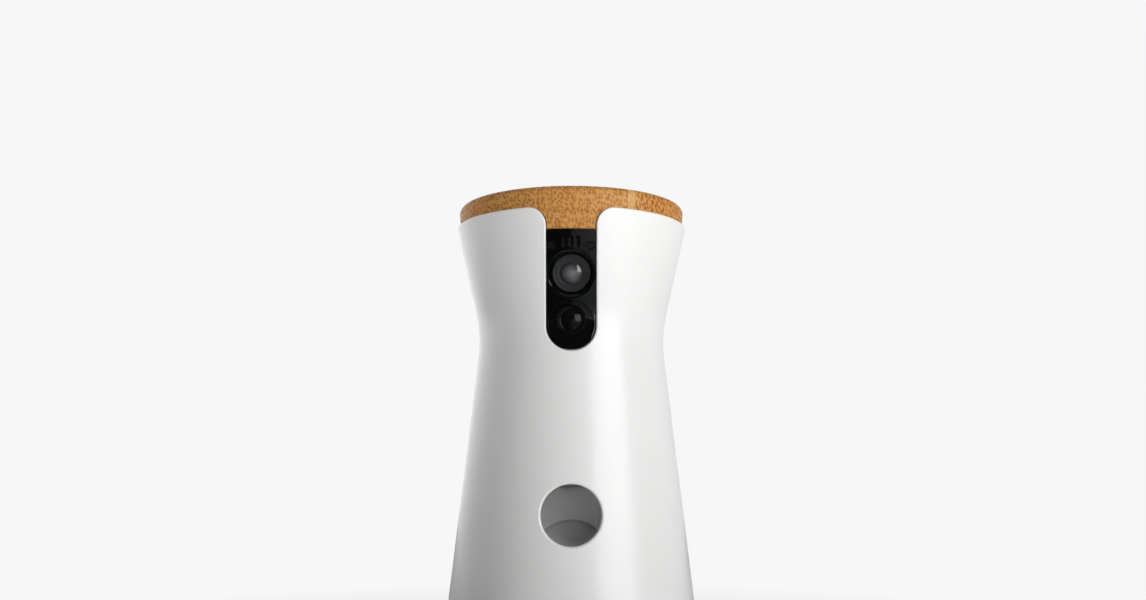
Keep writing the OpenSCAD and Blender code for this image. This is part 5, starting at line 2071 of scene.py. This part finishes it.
@dataclass(frozen=True)
class PhotoCamera:
    """The camera that the photograph was fitted with."""

    distance: float = 620.0
    x: float = 0.9
    height: float = 83.67
    tilt_deg: float = 8.596
    lens: float = 37.417
    sensor: float = 36.0

    def make(self) -> None:
        """Builds the camera and makes it the scene's."""
        data = bpy.data.cameras.new("Camera")
        data.lens = self.lens
        data.sensor_width = self.sensor
        data.clip_start = 0.01
        camera = bpy.data.objects.new("Camera", data)
        camera.location = (self.x * MM, -self.distance * MM, self.height * MM)
        camera.rotation_euler = (math.radians(90 + self.tilt_deg), 0, 0)
        bpy.context.scene.collection.objects.link(camera)
        bpy.context.scene.camera = camera


@dataclass(frozen=True)
class SoftLight:
    """An area light, aimed at a point on the object's axis. Its lengths are in metres."""

    name: str
    azimuth: float
    elevation: float
    distance: float
    size: Point2
    power: float
    aim_z: float = 0.11
    mirrored: bool = True

    def make(self) -> None:
        """Builds the light. Azimuth 0 is in front of the object and 90 on its right."""
        data = bpy.data.lights.new(self.name, "AREA")
        data.shape = "RECTANGLE"
        data.size, data.size_y = self.size
        data.energy = self.power
        lamp = bpy.data.objects.new(self.name, data)
        a, e = math.radians(self.azimuth), math.radians(self.elevation)
        away = Vector((math.sin(a) * math.cos(e), -math.cos(a) * math.cos(e), math.sin(e)))
        lamp.location = away * self.distance + Vector((0, 0, self.aim_z))
        lamp.rotation_euler = away.to_track_quat("Z", "Y").to_euler()
        lamp.visible_glossy = self.mirrored
        bpy.context.scene.collection.objects.link(lamp)


@dataclass(frozen=True)
class Studio:
    """The pale room: background, floor, lights and flag. Its lengths are in metres."""

    backdrop: float = 0.93
    front_glow: float = 0.03
    back_glow: float = 0.05
    front_shine: float = 0.02
    left_shine: float = 1.5
    right_shine: float = 0.8
    floor_lift: float = 0.58
    floor_bounce: float = 0.8
    bounce_from: Point2 = (0.16, 0.45)
    floor_size: float = 8.0
    flag: tuple[Point2, Point2] = ((-1.6, -2.2), (0.004, -0.08))
    flag_z: float = 0.0008
    floor_near: float = 0.16
    floor_far: float = 0.38
    floor_colour: str = "#EDEDED"
    fibre_colour: str = "#F4F4F4"
    cloth_colours: tuple[str, str] = ("#0B0B0B", "#151515")
    behind_from: Point2 = (-0.5, 0.6)
    right_from: Point2 = (-0.4, 0.4)
    lights: tuple[SoftLight, ...] = (
        SoftLight("Key", 43.0, 11.0, 1.3, (0.9, 1.0), 12.0, 0.09),
        SoftLight("Fill", 16.0, 0.0, 1.5, (0.5, 0.16), 2.0, mirrored=False),
        SoftLight("Back", 222.0, 16.0, 1.5, (1.0, 1.0), 5.5, mirrored=False),
        SoftLight("Top", 10.0, 75.0, 1.4, (1.0, 1.0), 0.9),
    )

    def make(self) -> None:
        """Builds the whole room."""
        self._world()
        self._floor()
        self._flag()
        for light in self.lights:
            light.make()
        bpy.context.scene.view_settings.view_transform = "Standard"

    def _world(self) -> None:
        """White where the camera sees it; darker in front than behind for everything else."""
        world = bpy.data.worlds.new("Room")
        bpy.context.scene.world = world
        t = Nodes(world)
        direction = t.add("ShaderNodeTexCoord").outputs["Generated"]
        parts = t.add("ShaderNodeSeparateXYZ", {0: direction}).outputs
        seen_by = t.add("ShaderNodeLightPath").outputs
        behind = t.span(parts["Y"], *self.behind_from, easing=Easing.SMOOTH)
        right = t.span(parts["X"], *self.right_from, easing=Easing.SMOOTH)
        shine = t.blend(behind, self.front_shine, t.blend(right, self.left_shine, self.right_shine))
        glow = t.blend(behind, self.front_glow, self.back_glow)
        unseen = t.blend(seen_by["Is Glossy Ray"], glow, shine)
        level = t.blend(seen_by["Is Camera Ray"], unseen, self.backdrop)
        background = t.add("ShaderNodeBackground", {"Strength": level, "Color": (1, 1, 1, 1)})
        t.add("ShaderNodeOutputWorld", {0: background.outputs[0]})

    def _rectangle(self, name: str, low: Point2, high: Point2, z: float) -> Piece:
        """A level rectangle.

        Args:
            name: Its name.
            low: Its corner on the left and in front, in metres.
            high: The corner opposite.
            z: Its height.

        Returns:
            The new object.
        """
        mesh = bpy.data.meshes.new(name)
        mesh.from_pydata([(*low, z), (high[0], low[1], z), (*high, z), (low[0], high[1], z)],
                         [], [(0, 1, 2, 3)])
        rectangle = bpy.data.objects.new(name, mesh)
        bpy.context.scene.collection.objects.link(rectangle)
        return rectangle

    def _floor(self) -> None:
        """A pale floor that fades into the background away from the object."""
        half = self.floor_size / 2
        floor = self._rectangle("Floor", (-half, -half), (half, half), 0)
        t = Tree("Matt paper")
        reach = t.add("ShaderNodeVectorMath", {0: t.place}, operation="LENGTH").outputs["Value"]
        far = t.span(reach, self.floor_near, self.floor_far)
        seen_by = t.add("ShaderNodeLightPath").outputs
        seen = seen_by["Is Camera Ray"]
        fibre = t.mix(t.noise(2.0, 3), linear(self.floor_colour), linear(self.fibre_colour))
        paper = t.add("ShaderNodeBsdfDiffuse", {"Color": fibre})
        spread = t.maths("MULTIPLY", seen_by["Is Diffuse Ray"], t.span(reach, *self.bounce_from))
        boost = t.maths("ADD", t.maths("MULTIPLY", seen, self.floor_lift),
                        t.maths("MULTIPLY", spread, self.floor_bounce))
        lift = t.add("ShaderNodeEmission", {"Color": (1, 1, 1, 1), "Strength": boost})
        matt = t.add("ShaderNodeAddShader", {0: paper.outputs[0], 1: lift.outputs[0]})
        glow = t.add("ShaderNodeEmission", {"Color": (1, 1, 1, 1), "Strength": self.backdrop})
        blend = t.add("ShaderNodeMixShader", {0: t.maths("MULTIPLY", far, seen), 1: matt.outputs[0],
                                              2: glow.outputs[0]})
        t.add("ShaderNodeOutputMaterial", {"Surface": blend.outputs[0]})
        floor.data.materials.append(t.material)

    def _flag(self) -> None:
        """A black cloth on the floor, left of the camera, that the camera doesn't see itself."""
        flag = self._rectangle("Flag", *self.flag, self.flag_z)
        t = Tree("Black cloth")
        cloth = t.mix(t.noise(1.5, 3), *map(linear, self.cloth_colours))
        matt = t.add("ShaderNodeBsdfDiffuse", {"Color": cloth})
        t.add("ShaderNodeOutputMaterial", {"Surface": matt.outputs[0]})
        flag.data.materials.append(t.material)
        flag.visible_camera = False
        flag.visible_diffuse = False
        flag.visible_shadow = False


# ---------------------------------------------------------------- the whole object


@dataclass
class PetCamera:
    """The treat tossing pet camera, piece by piece."""

    shell: HousingShell = field(default_factory=HousingShell)
    panel: CameraPanel = field(default_factory=CameraPanel)
    lens: MainCamera = field(default_factory=MainCamera)
    lamp: NightLamp = field(default_factory=NightLamp)
    sensors: PanelSensors = field(default_factory=PanelSensors)
    lid: Lid = field(default_factory=Lid)
    launcher: Launcher = field(default_factory=Launcher)
    wheel: MeteringWheel = field(default_factory=MeteringWheel)
    base: Base = field(default_factory=Base)
    back: BackPanel = field(default_factory=BackPanel)

    def make(self) -> None:
        """Builds every piece and ties it to the frame."""
        put(self.shell.make(), "housing", "housing", "body_shell")
        put(self.shell.make_bosses(), "housing", "housing")
        put(self.panel.make(), "housing", "panel", "camera_panel")
        put(self.lens.make_barrel(), "housing", "lens_barrel", "main_lens_barrel")
        put(self.lens.make_glass(), "housing", "lens_glass", "main_lens_glass")
        put(self.lamp.make_window(), "housing", "lamp_window", "night_lamp_window")
        put(self.lamp.make_lens(), "housing", "lamp_window", "night_lamp_lens")
        put(self.sensors.make_windows(), "housing", "sensor", "light_sensors")
        put(self.lid.make_cap(), "lid", "lid_wood", "lid_cap")
        put(self.lid.make_plug(), "lid", "lid_wood", "lid_plug")
        put(self.lid.make_tongue(), "lid", "lid_wood")
        put(self.launcher.make_chamber(), "housing", "inner_grey", "launch_chamber")
        put(self.launcher.make_kicker(), "kicker", "inner_grey", "kicker")
        put(self.wheel.make_hub(), "wheel", "inner_grey", "metering_wheel")
        put(self.wheel.make_vanes(), "wheel", "inner_grey")
        put(self.base.make_plate(), "housing", "housing", "base_plate")
        put(self.base.make_foot(), "housing", "rubber_foot", "foot_ring")
        put(self.base.make_ring(), "housing", "light_guide", "light_ring")
        put(self.back.make_socket(), "housing", "steel", "power_socket")
        put(self.back.make_button(), "button", "housing", "reset_button")

    def paint_rest(self) -> None:
        """Finishes the CAD nodes that are shown as they are."""
        for part in frame["record"]["subparts"]:
            node = frame["nodes"][part["node"]]
            if not node.hide_render:
                paint(node, part["material_slot"])


def main() -> None:
    """Builds the object, its room and the camera."""
    logging.basicConfig(level=logging.INFO, format="%(message)s")
    camera = PetCamera()
    camera.make()
    camera.paint_rest()
    Studio().make()
    PhotoCamera().make()
    bpy.context.view_layer.update()


if __name__ == "__main__":
    main()
